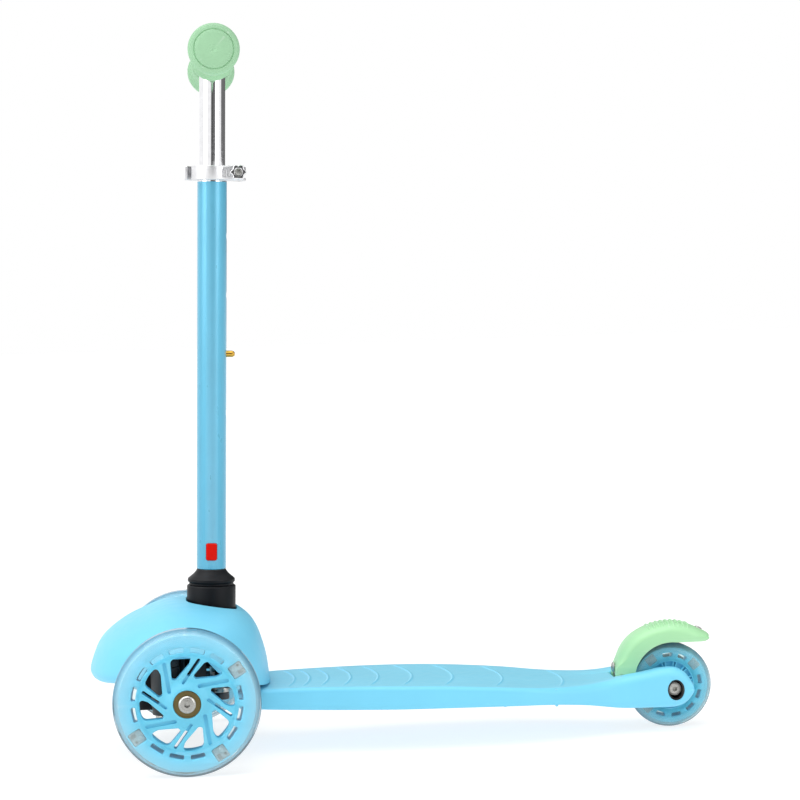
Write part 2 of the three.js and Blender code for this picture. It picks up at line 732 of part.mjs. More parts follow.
const rearAxle = [REAR_AXLE_X, 0, REAR_WHEEL.radius];
scooter.add(named('left_axle_cup', axleCup(1), blackNylon));
scooter.add(named('right_axle_cup', axleCup(-1), blackNylon));
scooter.add(named('rear_axle_bolt', rearAxleBolt(), steel, rearAxle));
scooter.add(named('rear_axle_nut', rearAxleNut(), steel, rearAxle));

// ---------------------------------------------------------------- brake

// The fender's sides hang down past the tyre to an arc round a point above the axle.
const SKIRT = { x: -231, z: 42.5, radius: 32.3, inside: 13.2 };

// Side outline of the fender, [x, z].
function fenderOutline() {
  const edge = 74.4;
  const outline = new THREE.Shape();
  outline.moveTo(-181, 41);
  outline.lineTo(-181, 50);
  outline.bezierCurveTo(-182.5, 68, -190, 80, -210, 87.6);
  outline.bezierCurveTo(-228, 93.6, -241, 92.6, -257, 84.5);
  outline.quadraticCurveTo(-266.6, 80.4, -266.6, 78.2);
  outline.quadraticCurveTo(-265.5, edge, -256, edge);
  outline.lineTo(SKIRT.x, edge);
  outline.lineTo(SKIRT.x, 41);
  return outline;
}

// The crown rounds the fender off towards both sides: [radius about its centre, y].
const CROWN_CENTRE = [-229, 47];
const CROWN = [[41, 18], [43.9, 17], [46, 15], [47.6, 12], [48.6, 8], [49, 4]];

const FENDER_SCREW_FRONT = { z: 55, head: 4.6 };
const FENDER_SCREW_REAR = { x: -258, z: 84, tilt: THREE.MathUtils.degToRad(-27), head: 3.2, seat: -0.9 };

// Puts a shape made round +Z at the rear screw's place, leaning back with the crest.
function atRearScrew(shape) {
  const { x, z, tilt } = FENDER_SCREW_REAR;
  return shape.rotateY(tilt).translate(x, 0, z);
}

function brakeFender() {
  const across = CROWN.map(([radius, y]) => [radius, -y]);
  const beyond = BRAKE_HALF_WIDTH + 1;
  const back = [...CROWN].reverse();
  const rim = [[0, -beyond], [36, -beyond], ...across, ...back, [36, beyond], [0, beyond]];
  const crown = revolve(rim, 'y', 48).translate(CROWN_CENTRE[0], 0, CROWN_CENTRE[1]);
  const upper = common(
    slabY(fenderOutline(), -BRAKE_HALF_WIDTH, BRAKE_HALF_WIDTH, 7),
    box([-270, -180], [-30, 30], [58, 100]),
    crown,
  );
  const base = common(
    slabY(fenderOutline(), -BRAKE_BASE_HALF_WIDTH, BRAKE_BASE_HALF_WIDTH, 7),
    box([-270, -180], [-30, 30], [40, 58.5]),
  );
  const wheelRoom = rod(STRIP_OUTER + GAP, -SKIRT.inside, SKIRT.inside, 'y', 40)
    .translate(REAR_AXLE_X, 0, REAR_WHEEL.radius);
  const skirtArc = rod(SKIRT.radius, -20, 20, 'y', 40).translate(SKIRT.x, 0, SKIRT.z);
  const tail = box([-246, -225], [-13, 13], [60, 82]);
  const pinBore = rod(BRAKE_PIN.radius + GAP, -20, 20, 'y', 12).translate(BRAKE_PIN.x, 0, BRAKE_PIN.z);
  const springNotch = box([-195, -180], [-6.5, 6.5], [39, 51.2]);
  const screwBore = rod(2 + GAP, -200, -180, 'x', 12).translate(0, 0, FENDER_SCREW_FRONT.z);
  const { head, seat } = FENDER_SCREW_REAR;
  const rearBore = atRearScrew(join(
    rod(1.6 + GAP, -8, 0, 'z', 12),
    rod(head + GAP, seat - GAP, 6, 'z', 12),
  ));
  return cut(join(upper, base), wheelRoom, skirtArc, tail, pinBore, springNotch, screwBore, rearBore);
}

// The rubbing strip follows the tyre from the front of the fender to just behind its top.
const STRIP_FROM = THREE.MathUtils.degToRad(30);
const STRIP_TO = THREE.MathUtils.degToRad(112);

function brakeStrip() {
  const strip = new THREE.Shape();
  strip.absarc(0, 0, STRIP_OUTER, STRIP_FROM, STRIP_TO, false);
  strip.absarc(0, 0, STRIP_INNER, STRIP_TO, STRIP_FROM, true);
  return slabY(strip, -11, 11, 10).translate(REAR_AXLE_X, 0, REAR_WHEEL.radius);
}

function fenderScrewFront() {
  const face = -181.6;
  return revolve([
    [0, -191.4],
    [2, -191.4],
    [2, face + 0.8],
    [FENDER_SCREW_FRONT.head, face + 0.8],
    [FENDER_SCREW_FRONT.head, face + 1.6],
    [3, face + 2.4],
    [0, face + 2.4],
  ], 'x', 12).translate(0, 0, FENDER_SCREW_FRONT.z);
}

function fenderScrewRear() {
  const { head, seat } = FENDER_SCREW_REAR;
  return atRearScrew(revolve([
    [0, -7.5],
    [1.6, -7.5],
    [1.6, seat],
    [head, seat],
    [head, seat + 0.6],
    [2.2, 0.4],
    [0, 0.4],
  ], 'z', 12));
}

function brakeSpring() {
  const turns = 3;
  const coil = coilSpring(4.3, 7.5, turns, 0.7).translate(0, -3.75, 0);
  return coil.translate(BRAKE_PIN.x, 0, BRAKE_PIN.z);
}

scooter.add(named('brake_fender', brakeFender(), greenPlastic));
scooter.add(named('brake_strip', brakeStrip(), steel));
scooter.add(named('brake_screw_front', fenderScrewFront(), steel));
scooter.add(named('brake_screw_rear', fenderScrewRear(), steel));
scooter.add(named('brake_hinge_pin', rod(BRAKE_PIN.radius, -22.5, 22.5, 'y', 12), steel,
  [BRAKE_PIN.x, 0, BRAKE_PIN.z]));
scooter.add(named('brake_spring', brakeSpring(), springSteel));

// ---------------------------------------------------------------- steering head, in the stem's frame

const POST_TOP = 214;
const LEVER = { x: [150, 181], halfWidth: 9, bottom: 70 };

function buttonPocket() {
  const halfWidth = BUTTON.width / 2 + GAP;
  const halfHeight = BUTTON.height / 2 + GAP;
  return box([-halfWidth, halfWidth], [1, 14], [BUTTON.centre - halfHeight, BUTTON.centre + halfHeight]);
}

// The head's collar shows above the housing, its post holds the tube, and its lever drives the tie bar.
function steeringHead() {
  const body = revolve([
    [0, 88],
    [18, 88],
    [18, 113],
    [COLLAR_RADIUS, 114],
    [COLLAR_RADIUS, COLLAR_TOP],
    [LOWER_TUBE.inner - GAP, COLLAR_TOP],
    [LOWER_TUBE.inner - GAP, POST_TOP - 2],
    [LOWER_TUBE.inner - 2.5, POST_TOP],
    [0, POST_TOP],
  ], 'z', 20);
  const axisX = (z) => STEM_FOOT_X - z * Math.tan(STEM_RAKE);
  const lever = box(LEVER.x.map((x) => x - axisX(80)), [-LEVER.halfWidth, LEVER.halfWidth],
    [LEVER.bottom, 90]);
  const leanBore = rod(LEAN_BOLT_RADIUS + GAP, -40, 40, 'x', 20);
  leanBore.rotateY(STEM_RAKE).translate(0, 0, LEAN_AXIS_Z / Math.cos(STEM_RAKE));
  const pinBore = rod(STEERING_PIN_RADIUS - 1 + GAP, 60, 84, 'z', 12).translate(steeringPinX(), 0, 0);
  return cut(join(body, lever), leanBore, buttonPocket(), pinBore);
}

// The pin stands over the tie bar's slot, so it sits behind the stem's axis.
function steeringPinX() {
  return TIE_BAR.x - (STEM_FOOT_X - TIE_BAR.top * Math.tan(STEM_RAKE));
}

function steeringPin() {
  return revolve([
    [0, TONGUE.top + 0.6],
    [STEERING_PIN_RADIUS, TONGUE.top + 0.6],
    [STEERING_PIN_RADIUS, LEVER.bottom - GAP],
    [STEERING_PIN_RADIUS - 1, LEVER.bottom - GAP],
    [STEERING_PIN_RADIUS - 1, 83.5],
    [0, 83.5],
  ], 'z', 12);
}

function socketBell() {
  const inner = LOWER_TUBE.inner;
  return revolve([
    [inner, COLLAR_TOP + GAP],
    [18.6, COLLAR_TOP + GAP],
    [18.6, COLLAR_TOP + 2.2],
    [20, COLLAR_TOP + 3.4],
    [20, COLLAR_TOP + 5],
    [16.2, COLLAR_TOP + 8],
    [13.4, COLLAR_TOP + 11.4],
    [12.4, BELL_TOP],
    [inner, BELL_TOP],
  ], 'z', 20);
}

function lowerTube() {
  const { outer, inner, from, to } = LOWER_TUBE;
  const wall = revolve([
    [inner, from],
    [outer - 0.5, from],
    [outer, from + 2],
    [outer, to],
    [inner, to],
  ], 'z', 20);
  const holes = [];
  for (let step = -1; step <= 2; step += 1) {
    holes.push(rod(PIN_RADIUS + GAP, -20, 0, 'x', 12).translate(0, 0, PIN_HEIGHT + step * HOLE_PITCH));
  }
  const slit = box([-20, 0], [-1.2, 1.2], [to - 26, to + 1]);
  return cut(wall, buttonPocket(), ...holes, slit);
}

function releaseButton() {
  const { width, height, centre } = BUTTON;
  return box([-width / 2, width / 2], [6, 13.4], [centre - height / 2, centre + height / 2]);
}

const buttonSpring = coilSpring(3, 3.2, 2, 0.5).translate(0, 1.9, 0);

stem.add(named('steering_head', steeringHead(), blackNylon));
stem.add(named('steering_pin', steeringPin(), steel, [steeringPinX(), 0, 0]));
stem.add(named('socket_bell', socketBell(), blackNylon));
stem.add(named('lower_tube', lowerTube(), bluePaint));
stem.add(named('release_button', releaseButton(), redPlastic));
stem.add(named('button_spring', buttonSpring, springSteel, [0, 0, BUTTON.centre]));

// ---------------------------------------------------------------- height clamp

// The left ear is a flat flange that runs on from the ring's side, with a shallow pocket in it.
const EARS = { right: 7.5, left: 15.2, leftFront: -2, gap: 1.5, back: -26 };
const EAR_POCKET = { x: [-18.6, -8.4], floor: 14, halfHeight: 3.4 };

function clampCollar() {
  const { centre, height, inner, outer, boltX } = CLAMP;
  const ring = tube(outer, inner, centre - height / 2, centre + height / 2, 'z', 20);
  const heights = [centre - height / 2, centre + height / 2];
  const rightEar = box([EARS.back, -inner - 1], [-EARS.right, 0], heights);
  const leftEar = box([EARS.back, EARS.leftFront], [0, EARS.left], heights);
  const pocket = box(EAR_POCKET.x, [EAR_POCKET.floor, 20],
    [centre - EAR_POCKET.halfHeight, centre + EAR_POCKET.halfHeight]);
  const bore = rod(inner, 400, 520, 'z', 20);
  const slit = box([-40, -inner + 2], [-EARS.gap, EARS.gap], [400, 520]);
  const boltBore = rod(2.7 + GAP, -30, 30, 'y', 12).translate(boltX, 0, centre);
  return cut(join(ring, rightEar, leftEar), bore, slit, boltBore, pocket);
}

// The bolt ends in an upright barrel that the lever turns on.
const LEVER_BARREL_RADIUS = 3.6;

function clampBolt() {
  const shank = rod(2.7, CLAMP.leverY, EARS.left + 7.2, 'y', 12);
  const barrel = rod(LEVER_BARREL_RADIUS, -5.5, 5.5, 'z', 12).translate(0, CLAMP.leverY, 0);
  return join(shank, barrel);
}

// A thumb nut with scalloped edges.
function clampNut() {
  const lobes = 6;
  const seat = EARS.left + GAP;
  const outline = new THREE.Shape();
  for (let i = 0; i < lobes * 4; i += 1) {
    const angle = (i / (lobes * 4)) * 2 * Math.PI;
    const radius = 6.2 + 0.7 * Math.cos(lobes * angle);
    const [a, b] = [radius * Math.cos(angle), radius * Math.sin(angle)];
    if (i === 0) {
      outline.moveTo(a, b);
    } else {
      outline.lineTo(a, b);
    }
  }
  return cut(slabY(outline, seat, seat + 6), rod(2.7 + GAP, 0, 30, 'y', 12));
}

// The lever's cam turns on the barrel, and its blade wraps round the right side to the front.
function clampLever() {
  const { boltX, leverY } = CLAMP;
  const cam = rod(7, -6, 6, 'z', 20).translate(boltX, leverY, 0);
  const blade = new THREE.Shape();
  const [inside, outside] = [20.9, 23.6];
  blade.absarc(0, 0, outside, THREE.MathUtils.degToRad(-140), THREE.MathUtils.degToRad(-6), false);
  blade.absarc(0, 0, inside, THREE.MathUtils.degToRad(-6), THREE.MathUtils.degToRad(-140), true);
  const body = join(cam, slabZ(blade, -6, 6, 14));
  const bore = rod(LEVER_BARREL_RADIUS + GAP, -10, 10, 'z', 12).translate(boltX, leverY, 0);
  const facing = new THREE.Shape();
  facing.moveTo(0, 0);
  facing.absarc(0, 0, 12, THREE.MathUtils.degToRad(44), THREE.MathUtils.degToRad(243), false);
  const swing = slabZ(facing, -3.4, 3.4, 8).translate(boltX, leverY, 0);
  const earRoom = box([boltX - 8, boltX + 12], [-EARS.right - GAP, 0], [-10, 10]);
  return cut(body, bore, swing, earRoom);
}

const clampCentre = [0, 0, CLAMP.centre];
stem.add(named('clamp_collar', clampCollar(), aluminium));
stem.add(named('clamp_bolt', clampBolt(), steel, [CLAMP.boltX, 0, CLAMP.centre]));
stem.add(named('clamp_nut', clampNut(), steel, [CLAMP.boltX, 0, CLAMP.centre]));
stem.add(named('clamp_lever', clampLever(), aluminium, clampCentre));

// ---------------------------------------------------------------- handlebar

// Upright tube and crossbar, welded into a T. Both are hollow and open at their ends.
function handlebarTube() {
  const { outer, inner, from } = UPPER_TUBE;
  const upright = rod(outer, from, BAR_CENTRE, 'z', 20);
  const crossbar = rod(outer, -BAR_HALF_LENGTH, BAR_HALF_LENGTH, 'y', 20).translate(0, 0, BAR_CENTRE);
  const uprightBore = rod(inner, from - 1, BAR_CENTRE, 'z', 20);
  const crossBore = rod(inner, -BAR_HALF_LENGTH - 1, BAR_HALF_LENGTH + 1, 'y', 20)
    .translate(0, 0, BAR_CENTRE);
  const pinHole = rod(PIN_RADIUS + GAP, -20, 0, 'x', 12).translate(0, 0, PIN_HEIGHT);
  return cut(join(upright, crossbar), uprightBore, crossBore, pinHole);
}

// A grip with a collar at each end and a closed outer end. It points along +Y.
function grip() {
  const bore = UPPER_TUBE.outer + GAP;
  return revolve([
    [0, BAR_HALF_LENGTH + GAP],
    [bore, BAR_HALF_LENGTH + GAP],
    [bore, 21],
    [17.5, 21],
    [18.5, 22.5],
    [18.5, 24.5],
    [14.8, 27],
    [15.4, 65],
    [14.8, 103],
    [17, 108],
    [20.6, 111.5],
    [21, 114.8],
    [19.6, 117.2],
    [16.4, 118],
    [15.6, 119],
    [0, 119.4],
  ].reverse().map(([r, y]) => [r, -y]), 'y', 20).rotateX(Math.PI);
}

function heightPin() {
  return revolve([
    [0, -19.6],
    [1.6, -19.2],
    [PIN_RADIUS, -17.8],
    [PIN_RADIUS, -8.2],
    [0, -8.2],
  ], 'x', 12);
}

// A bent strip inside the upright that pushes the pin outwards.
function pinSpring() {
  const thickness = 0.8;
  const bend = -46;
  const strip = new THREE.Shape();
  strip.moveTo(-7.9, 4);
  strip.lineTo(-7.9, -4);
  strip.lineTo(-1, bend);
  strip.lineTo(1, bend);
  strip.lineTo(8.2, -6);
  strip.lineTo(8.2 - thickness, -6);
  strip.lineTo(0.3, bend + 2);
  strip.lineTo(-0.3, bend + 2);
  strip.lineTo(-7.9 + thickness, -4);
  strip.lineTo(-7.9 + thickness, 4);
  return slabY(strip, -3, 3);
}

stem.add(named('handlebar_tube', handlebarTube(), chrome));
stem.add(named('left_grip', grip(), mintRubber, [0, 0, BAR_CENTRE]));
stem.add(named('right_grip', grip().rotateZ(Math.PI), mintRubber, [0, 0, BAR_CENTRE]));
stem.add(named('height_pin', heightPin(), brass, [0, 0, PIN_HEIGHT]));
stem.add(named('pin_spring', pinSpring(), springSteel, [0, 0, PIN_HEIGHT]));

export default scooter;
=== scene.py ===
"""Kids' three-wheel kick scooter: the looks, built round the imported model.

Shapes are made in millimetres in the model's own frame, and finish_piece() scales each to metres.
"""

import json
import math

import bmesh
import bpy
import numpy as np
from mathutils import Matrix, Vector

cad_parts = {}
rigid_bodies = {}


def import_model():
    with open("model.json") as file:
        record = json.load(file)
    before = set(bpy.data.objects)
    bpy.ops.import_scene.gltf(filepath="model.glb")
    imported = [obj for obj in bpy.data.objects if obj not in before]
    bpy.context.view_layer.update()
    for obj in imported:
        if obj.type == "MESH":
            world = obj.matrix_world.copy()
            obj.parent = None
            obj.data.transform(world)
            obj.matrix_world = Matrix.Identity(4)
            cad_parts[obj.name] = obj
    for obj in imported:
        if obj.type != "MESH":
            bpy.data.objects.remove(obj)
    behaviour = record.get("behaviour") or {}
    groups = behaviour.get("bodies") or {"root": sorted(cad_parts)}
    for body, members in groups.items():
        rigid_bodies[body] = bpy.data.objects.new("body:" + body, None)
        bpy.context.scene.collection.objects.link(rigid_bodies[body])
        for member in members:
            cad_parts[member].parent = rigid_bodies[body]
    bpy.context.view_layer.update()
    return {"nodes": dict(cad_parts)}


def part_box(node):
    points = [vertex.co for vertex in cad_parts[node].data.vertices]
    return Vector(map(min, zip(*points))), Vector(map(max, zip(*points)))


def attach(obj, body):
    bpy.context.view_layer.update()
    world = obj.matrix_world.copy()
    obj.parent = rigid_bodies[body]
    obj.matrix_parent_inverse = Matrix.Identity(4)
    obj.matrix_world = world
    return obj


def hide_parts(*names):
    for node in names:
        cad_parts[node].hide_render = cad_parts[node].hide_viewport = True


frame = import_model()

MM = 0.001
scene = bpy.context.scene
scene.view_settings.view_transform = "Standard"


def centre_of(node):
    """The middle of a node's box, in millimetres."""
    low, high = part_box(node)
    return (low + high) / 2 / MM


def radius_of(node):
    low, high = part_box(node)
    return (high.z - low.z) / 2 / MM


# ---------------------------------------------------------------- sizes, in millimetres

FRONT_AXLE = centre_of("front_left_tyre")
REAR_AXLE = centre_of("rear_tyre")
FRONT_RADIUS = radius_of("front_left_tyre")
REAR_RADIUS = radius_of("rear_tyre")

TYRE_HALF_WIDTH = 12
RIM_HALF_WIDTH = 7.5
HUB_HALF_WIDTH = 11.5
HUB_RADIUS = 15.5
BEARING_RADIUS = 11
BEARING_SEAT = 11.3
AXLE_RADIUS = 3.7

STEM_FOOT_X = 167.25
STEM_RAKE = math.radians(2.12)
COLLAR_RADIUS = 20.75
COLLAR_TOP = 139.5
TUBE_RADIUS = 12.5
TUBE_INNER = 11.3
UPPER_RADIUS = 11
BAR_CENTRE = 584.1
BAR_HALF_LENGTH = 113
BUTTON_CENTRE = 168.6
PIN_HEIGHT = 336.5
HOLE_PITCH = 50
CLAMP_CENTRE = 489.6
CLAMP_BOLT_X = -21.9

KINGPIN_Y = 85
TIE_BAR_X = 158

BRAKE_PIN = (-187.5, 45.5)

# The stem's own frame: its foot on the ground, +Z up the tube, leaning back a little.
STEM = Matrix.Translation((STEM_FOOT_X, 0, 0)) @ Matrix.Rotation(-STEM_RAKE, 4, "Y")


# ---------------------------------------------------------------- outlines


def polar(radius, degrees):
    angle = math.radians(degrees)
    return (radius * math.cos(angle), radius * math.sin(angle))


def rounded(points, steps=5, closed=True):
    """An outline with its corners rounded. A corner is (a, b) if sharp, or (a, b, radius)."""
    made = []
    count = len(points)
    for i, point in enumerate(points):
        here = Vector(point[:2])
        radius = point[2] if len(point) > 2 else 0
        if radius <= 0 or (not closed and i in (0, count - 1)):
            made.append(tuple(here))
            continue
        before = Vector(points[i - 1][:2]) - here
        after = Vector(points[(i + 1) % count][:2]) - here
        corner = before.angle(after)
        reach = min(radius / math.tan(corner / 2), 0.49 * before.length, 0.49 * after.length)
        start = here + before.normalized() * reach
        end = here + after.normalized() * reach
        weight = math.sin(corner / 2)
        for k in range(steps + 1):
            t = k / steps
            parts = ((1 - t) ** 2, 2 * t * (1 - t) * weight, t * t)
            made.append(tuple((start * parts[0] + here * parts[1] + end * parts[2]) / sum(parts)))
    return made


def circle(radius, steps=96, centre=(0, 0)):
    turns = (k * 360 / steps for k in range(steps))
    return [(centre[0] + a, centre[1] + b) for a, b in (polar(radius, turn) for turn in turns)]


def oval(half_width, half_height, centre, steps=64):
    return [(centre[0] + half_width * a, centre[1] + half_height * b) for a, b in circle(1, steps)]


def arc(radius, start, end, steps=16, centre=(0, 0)):
    turns = (start + (end - start) * k / steps for k in range(steps + 1))
    return [(centre[0] + a, centre[1] + b) for a, b in (polar(radius, turn) for turn in turns)]


def stadium(start, end, width, steps=8):
    """A slot with round ends between two points."""
    start, end = Vector(start), Vector(end)
    heading = math.degrees(math.atan2(end.y - start.y, end.x - start.x))
    tail = arc(width / 2, heading + 90, heading + 270, steps, start)
    return tail + arc(width / 2, heading - 90, heading + 90, steps, end)


def bezier(start, first, second, end, steps=16):
    made = []
    for k in range(steps):
        t = k / steps
        parts = ((1 - t) ** 3, 3 * t * (1 - t) ** 2, 3 * t * t * (1 - t), t**3)
        corners = (start, first, second, end)
        made.append(tuple(sum(w * p[axis] for w, p in zip(parts, corners)) for axis in (0, 1)))
    return made


def curve_through(keys, values):
    """A smooth function of one number that passes through points whose keys rise."""
    keys, values = np.array(keys, float), np.array(values, float)
    steps = np.diff(values) / np.diff(keys)
    slopes = np.concatenate([steps[:1], (steps[1:] + steps[:-1]) / 2, steps[-1:]])

    def value(at):
        at = np.asarray(at, float)
        i = np.clip(np.searchsorted(keys, at) - 1, 0, len(keys) - 2)
        span = keys[i + 1] - keys[i]
        t = (at - keys[i]) / span
        rise = (1 + 2 * t) * (1 - t) ** 2 * values[i] + t * t * (3 - 2 * t) * values[i + 1]
        return rise + span * (t * (1 - t) ** 2 * slopes[i] + t * t * (t - 1) * slopes[i + 1])

    return value


def smoothstep(low, high, at):
    t = np.clip((at - low) / (high - low), 0, 1)
    return t * t * (3 - 2 * t)


# ---------------------------------------------------------------- solids


def shape_from(vertices, faces):
    mesh = bpy.data.meshes.new("shape")
    mesh.from_pydata([tuple(v) for v in vertices], [], faces)
    shape = bpy.data.objects.new("shape", mesh)
    scene.collection.objects.link(shape)
    return mend(shape)


def mend(shape, weld=1e-3):
    """Welds doubled points, drops empty faces and turns every face outwards."""
    mesh = bmesh.new()
    mesh.from_mesh(shape.data)
    bmesh.ops.remove_doubles(mesh, verts=mesh.verts, dist=weld)
    bmesh.ops.dissolve_degenerate(mesh, edges=mesh.edges, dist=weld)
    bmesh.ops.recalc_face_normals(mesh, faces=mesh.faces)
    mesh.to_mesh(shape.data)
    mesh.free()
    return shape


def apply_modifiers(shape):
    bpy.context.view_layer.update()
    graph = bpy.context.evaluated_depsgraph_get()
    mesh = bpy.data.meshes.new_from_object(shape.evaluated_get(graph))
    shape.modifiers.clear()
    shape.data = mesh
    return shape


def from_curve(curve):
    """The mesh of a curve, as a new object."""
    holder = bpy.data.objects.new("curve", curve)
    scene.collection.objects.link(holder)
    bpy.context.view_layer.update()
    graph = bpy.context.evaluated_depsgraph_get()
    mesh = bpy.data.meshes.new_from_object(holder.evaluated_get(graph))
    bpy.data.objects.remove(holder)
    shape = bpy.data.objects.new("shape", mesh)
    scene.collection.objects.link(shape)
    return shape


def place(shape, matrix):
    shape.data.transform(matrix)
    return mend(shape) if matrix.determinant() < 0 else shape


def move(shape, x=0, y=0, z=0):
    return place(shape, Matrix.Translation((x, y, z)))


def turn(shape, degrees, axis):
    return place(shape, Matrix.Rotation(math.radians(degrees), 4, axis))


AXES = {
    "x": Matrix.Rotation(math.radians(90), 4, "Y"),
    "y": Matrix.Rotation(math.radians(-90), 4, "X"),
    "z": Matrix.Identity(4),
}


def lathe(profile, axis="z", segments=64):
    """Turns (radius, distance) points round an axis. The outline ends on the axis or closes on itself."""
    vertices, faces, rings = [], [], []
    for radius, distance in profile:
        first = len(vertices)
        if radius < 1e-6:
            vertices.append((0, 0, distance))
            rings.append([first])
            continue
        for a, b in circle(radius, segments):
            vertices.append((a, b, distance))
        rings.append(list(range(first, first + segments)))
    pairs = list(zip(rings, rings[1:]))
    if profile[0][0] > 1e-6:
        pairs.append((rings[-1], rings[0]))
    for low, high in pairs:
        for i in range(segments):
            j = (i + 1) % segments
            corners = [low[i % len(low)], low[j % len(low)], high[j % len(high)], high[i % len(high)]]
            corners = list(dict.fromkeys(corners))
            if len(corners) > 2:
                faces.append(corners)
    return place(shape_from(vertices, faces), AXES[axis])


def rod(radius, start, end, axis="z", edge=0.0, segments=48):
    profile = [(0, start), (radius, start, edge), (radius, end, edge), (0, end)]
    return lathe(rounded(profile, 3, closed=False), axis, segments)


def loft(loops, capped=True):
    """A skin over loops that all have the same number of points."""
    count = len(loops[0])
    vertices = [point for loop in loops for point in loop]
    faces = []
    for k in range(len(loops) - 1):
        for i in range(count):
            j = (i + 1) % count
            faces.append((k * count + i, k * count + j, (k + 1) * count + j, (k + 1) * count + i))
    if capped:
        faces.append(list(range(count)))
        faces.append(list(range((len(loops) - 1) * count, len(loops) * count)))
    return shape_from(vertices, faces)


SWAP_YZ = Matrix(((1, 0, 0, 0), (0, 0, 1, 0), (0, 1, 0, 0), (0, 0, 0, 1)))
TO_YZ = Matrix(((0, 0, 1, 0), (1, 0, 0, 0), (0, 1, 0, 0), (0, 0, 0, 1)))
PLANES = {"xy": Matrix.Identity(4), "xz": SWAP_YZ, "yz": TO_YZ}


def plate(outline, near, far, holes=(), bevel=0.4, steps=3, plane="xz"):
    """A flat outline with holes, thickened from near to far, with rounded edges."""
    curve = bpy.data.curves.new("plate", "CURVE")
    curve.dimensions = "2D"
    curve.fill_mode = "BOTH"
    curve.extrude = (far - near) / 2 - bevel
    curve.bevel_depth = bevel
    curve.bevel_resolution = steps - 1
    curve.offset = -bevel
    for loop in (outline, *holes):
        spline = curve.splines.new("POLY")
        spline.points.add(len(loop) - 1)
        for point, (a, b) in zip(spline.points, loop):
            point.co = (a, b, 0, 1)
        spline.use_cyclic_u = True
    shape = from_curve(curve)
    move(shape, z=(near + far) / 2)
    return mend(place(shape, PLANES[plane]))


def bar(points, radius, sides=10, closed=False):
    """A round wire along points."""
    curve = bpy.data.curves.new("bar", "CURVE")
    curve.dimensions = "3D"
    curve.bevel_depth = radius
    curve.bevel_resolution = max(1, sides // 2 - 2)
    curve.use_fill_caps = True
    spline = curve.splines.new("POLY")
    spline.points.add(len(points) - 1)
    for point, place_at in zip(spline.points, points):
        point.co = (*place_at, 1)
    spline.use_cyclic_u = closed
    return mend(from_curve(curve))


def block(x, y, z):
    """A plain box, used as a cutter or as the start of a softened piece."""
    corners = [(a, b, c) for a in x for b in y for c in z]
    faces = [(0, 1, 3, 2), (4, 6, 7, 5), (0, 4, 5, 1), (2, 3, 7, 6), (0, 2, 6, 4), (1, 5, 7, 3)]
    return shape_from(corners, faces)


def joined(*shapes):
    """Several shapes as one mesh, with no boolean. Each keeps its own materials."""
    first = shapes[0]
    mesh = bmesh.new()
    materials = []
    for shape in shapes:
        slots = {}
        for i, material in enumerate(shape.data.materials):
            if material not in materials:
                materials.append(material)
            slots[i] = materials.index(material)
        start = len(mesh.faces)
        mesh.from_mesh(shape.data)
        mesh.faces.ensure_lookup_table()
        for face in mesh.faces[start:]:
            face.material_index = slots.get(face.material_index, 0)
    made = bpy.data.meshes.new("joined")
    mesh.to_mesh(made)
    mesh.free()
    for material in materials:
        made.materials.append(material)
    first.data = made
    for shape in shapes[1:]:
        bpy.data.objects.remove(shape)
    return first


def boolean(shape, operation, *tools):
    for tool in tools:
        modifier = shape.modifiers.new("boolean", "BOOLEAN")
        modifier.operation = operation
        modifier.solver = "EXACT"
        modifier.object = tool
    apply_modifiers(shape)
    for tool in tools:
        bpy.data.objects.remove(tool)
    return shape


def cut(shape, *tools):
    return boolean(shape, "DIFFERENCE", *tools)


def unite(shape, *tools):
    return boolean(shape, "UNION", *tools)


def soften(shape, width, angle=40, segments=2):
    """Rounds the edges that are sharper than an angle."""
    modifier = shape.modifiers.new("bevel", "BEVEL")
    modifier.width = width
    modifier.segments = segments
    modifier.limit_method = "ANGLE"
    modifier.angle_limit = math.radians(angle)
    modifier.use_clamp_overlap = True
    modifier.harden_normals = False
    return apply_modifiers(shape)


def painted(shape, material):
    """Gives the whole shape one material, for a piece that has more than one."""
    shape.data.materials.clear()
    shape.data.materials.append(material)
    for polygon in shape.data.polygons:
        polygon.material_index = 0
    return shape


def finish_piece(name, shape, body, nodes, material=None, matrix=None, sharp=32):
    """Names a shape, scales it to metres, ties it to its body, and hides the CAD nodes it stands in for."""
    if material is not None:
        painted(shape, material)
    if matrix is not None:
        place(shape, matrix)
    place(shape, Matrix.Scale(MM, 4))
    shape.name = name
    shape.data.name = name
    shape.data.shade_smooth()
    shape.data.set_sharp_from_angle(angle=math.radians(sharp))
    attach(shape, body)
    if nodes:
        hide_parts(*nodes)
    return shape


# ---------------------------------------------------------------- materials


def srgb(red, green, blue):
    """A colour given as 0 to 255 screen values, in the renderer's linear light."""
    def linear(value):
        value /= 255
        return value / 12.92 if value <= 0.04045 else ((value + 0.055) / 1.055) ** 2.4

    return (linear(red), linear(green), linear(blue), 1)


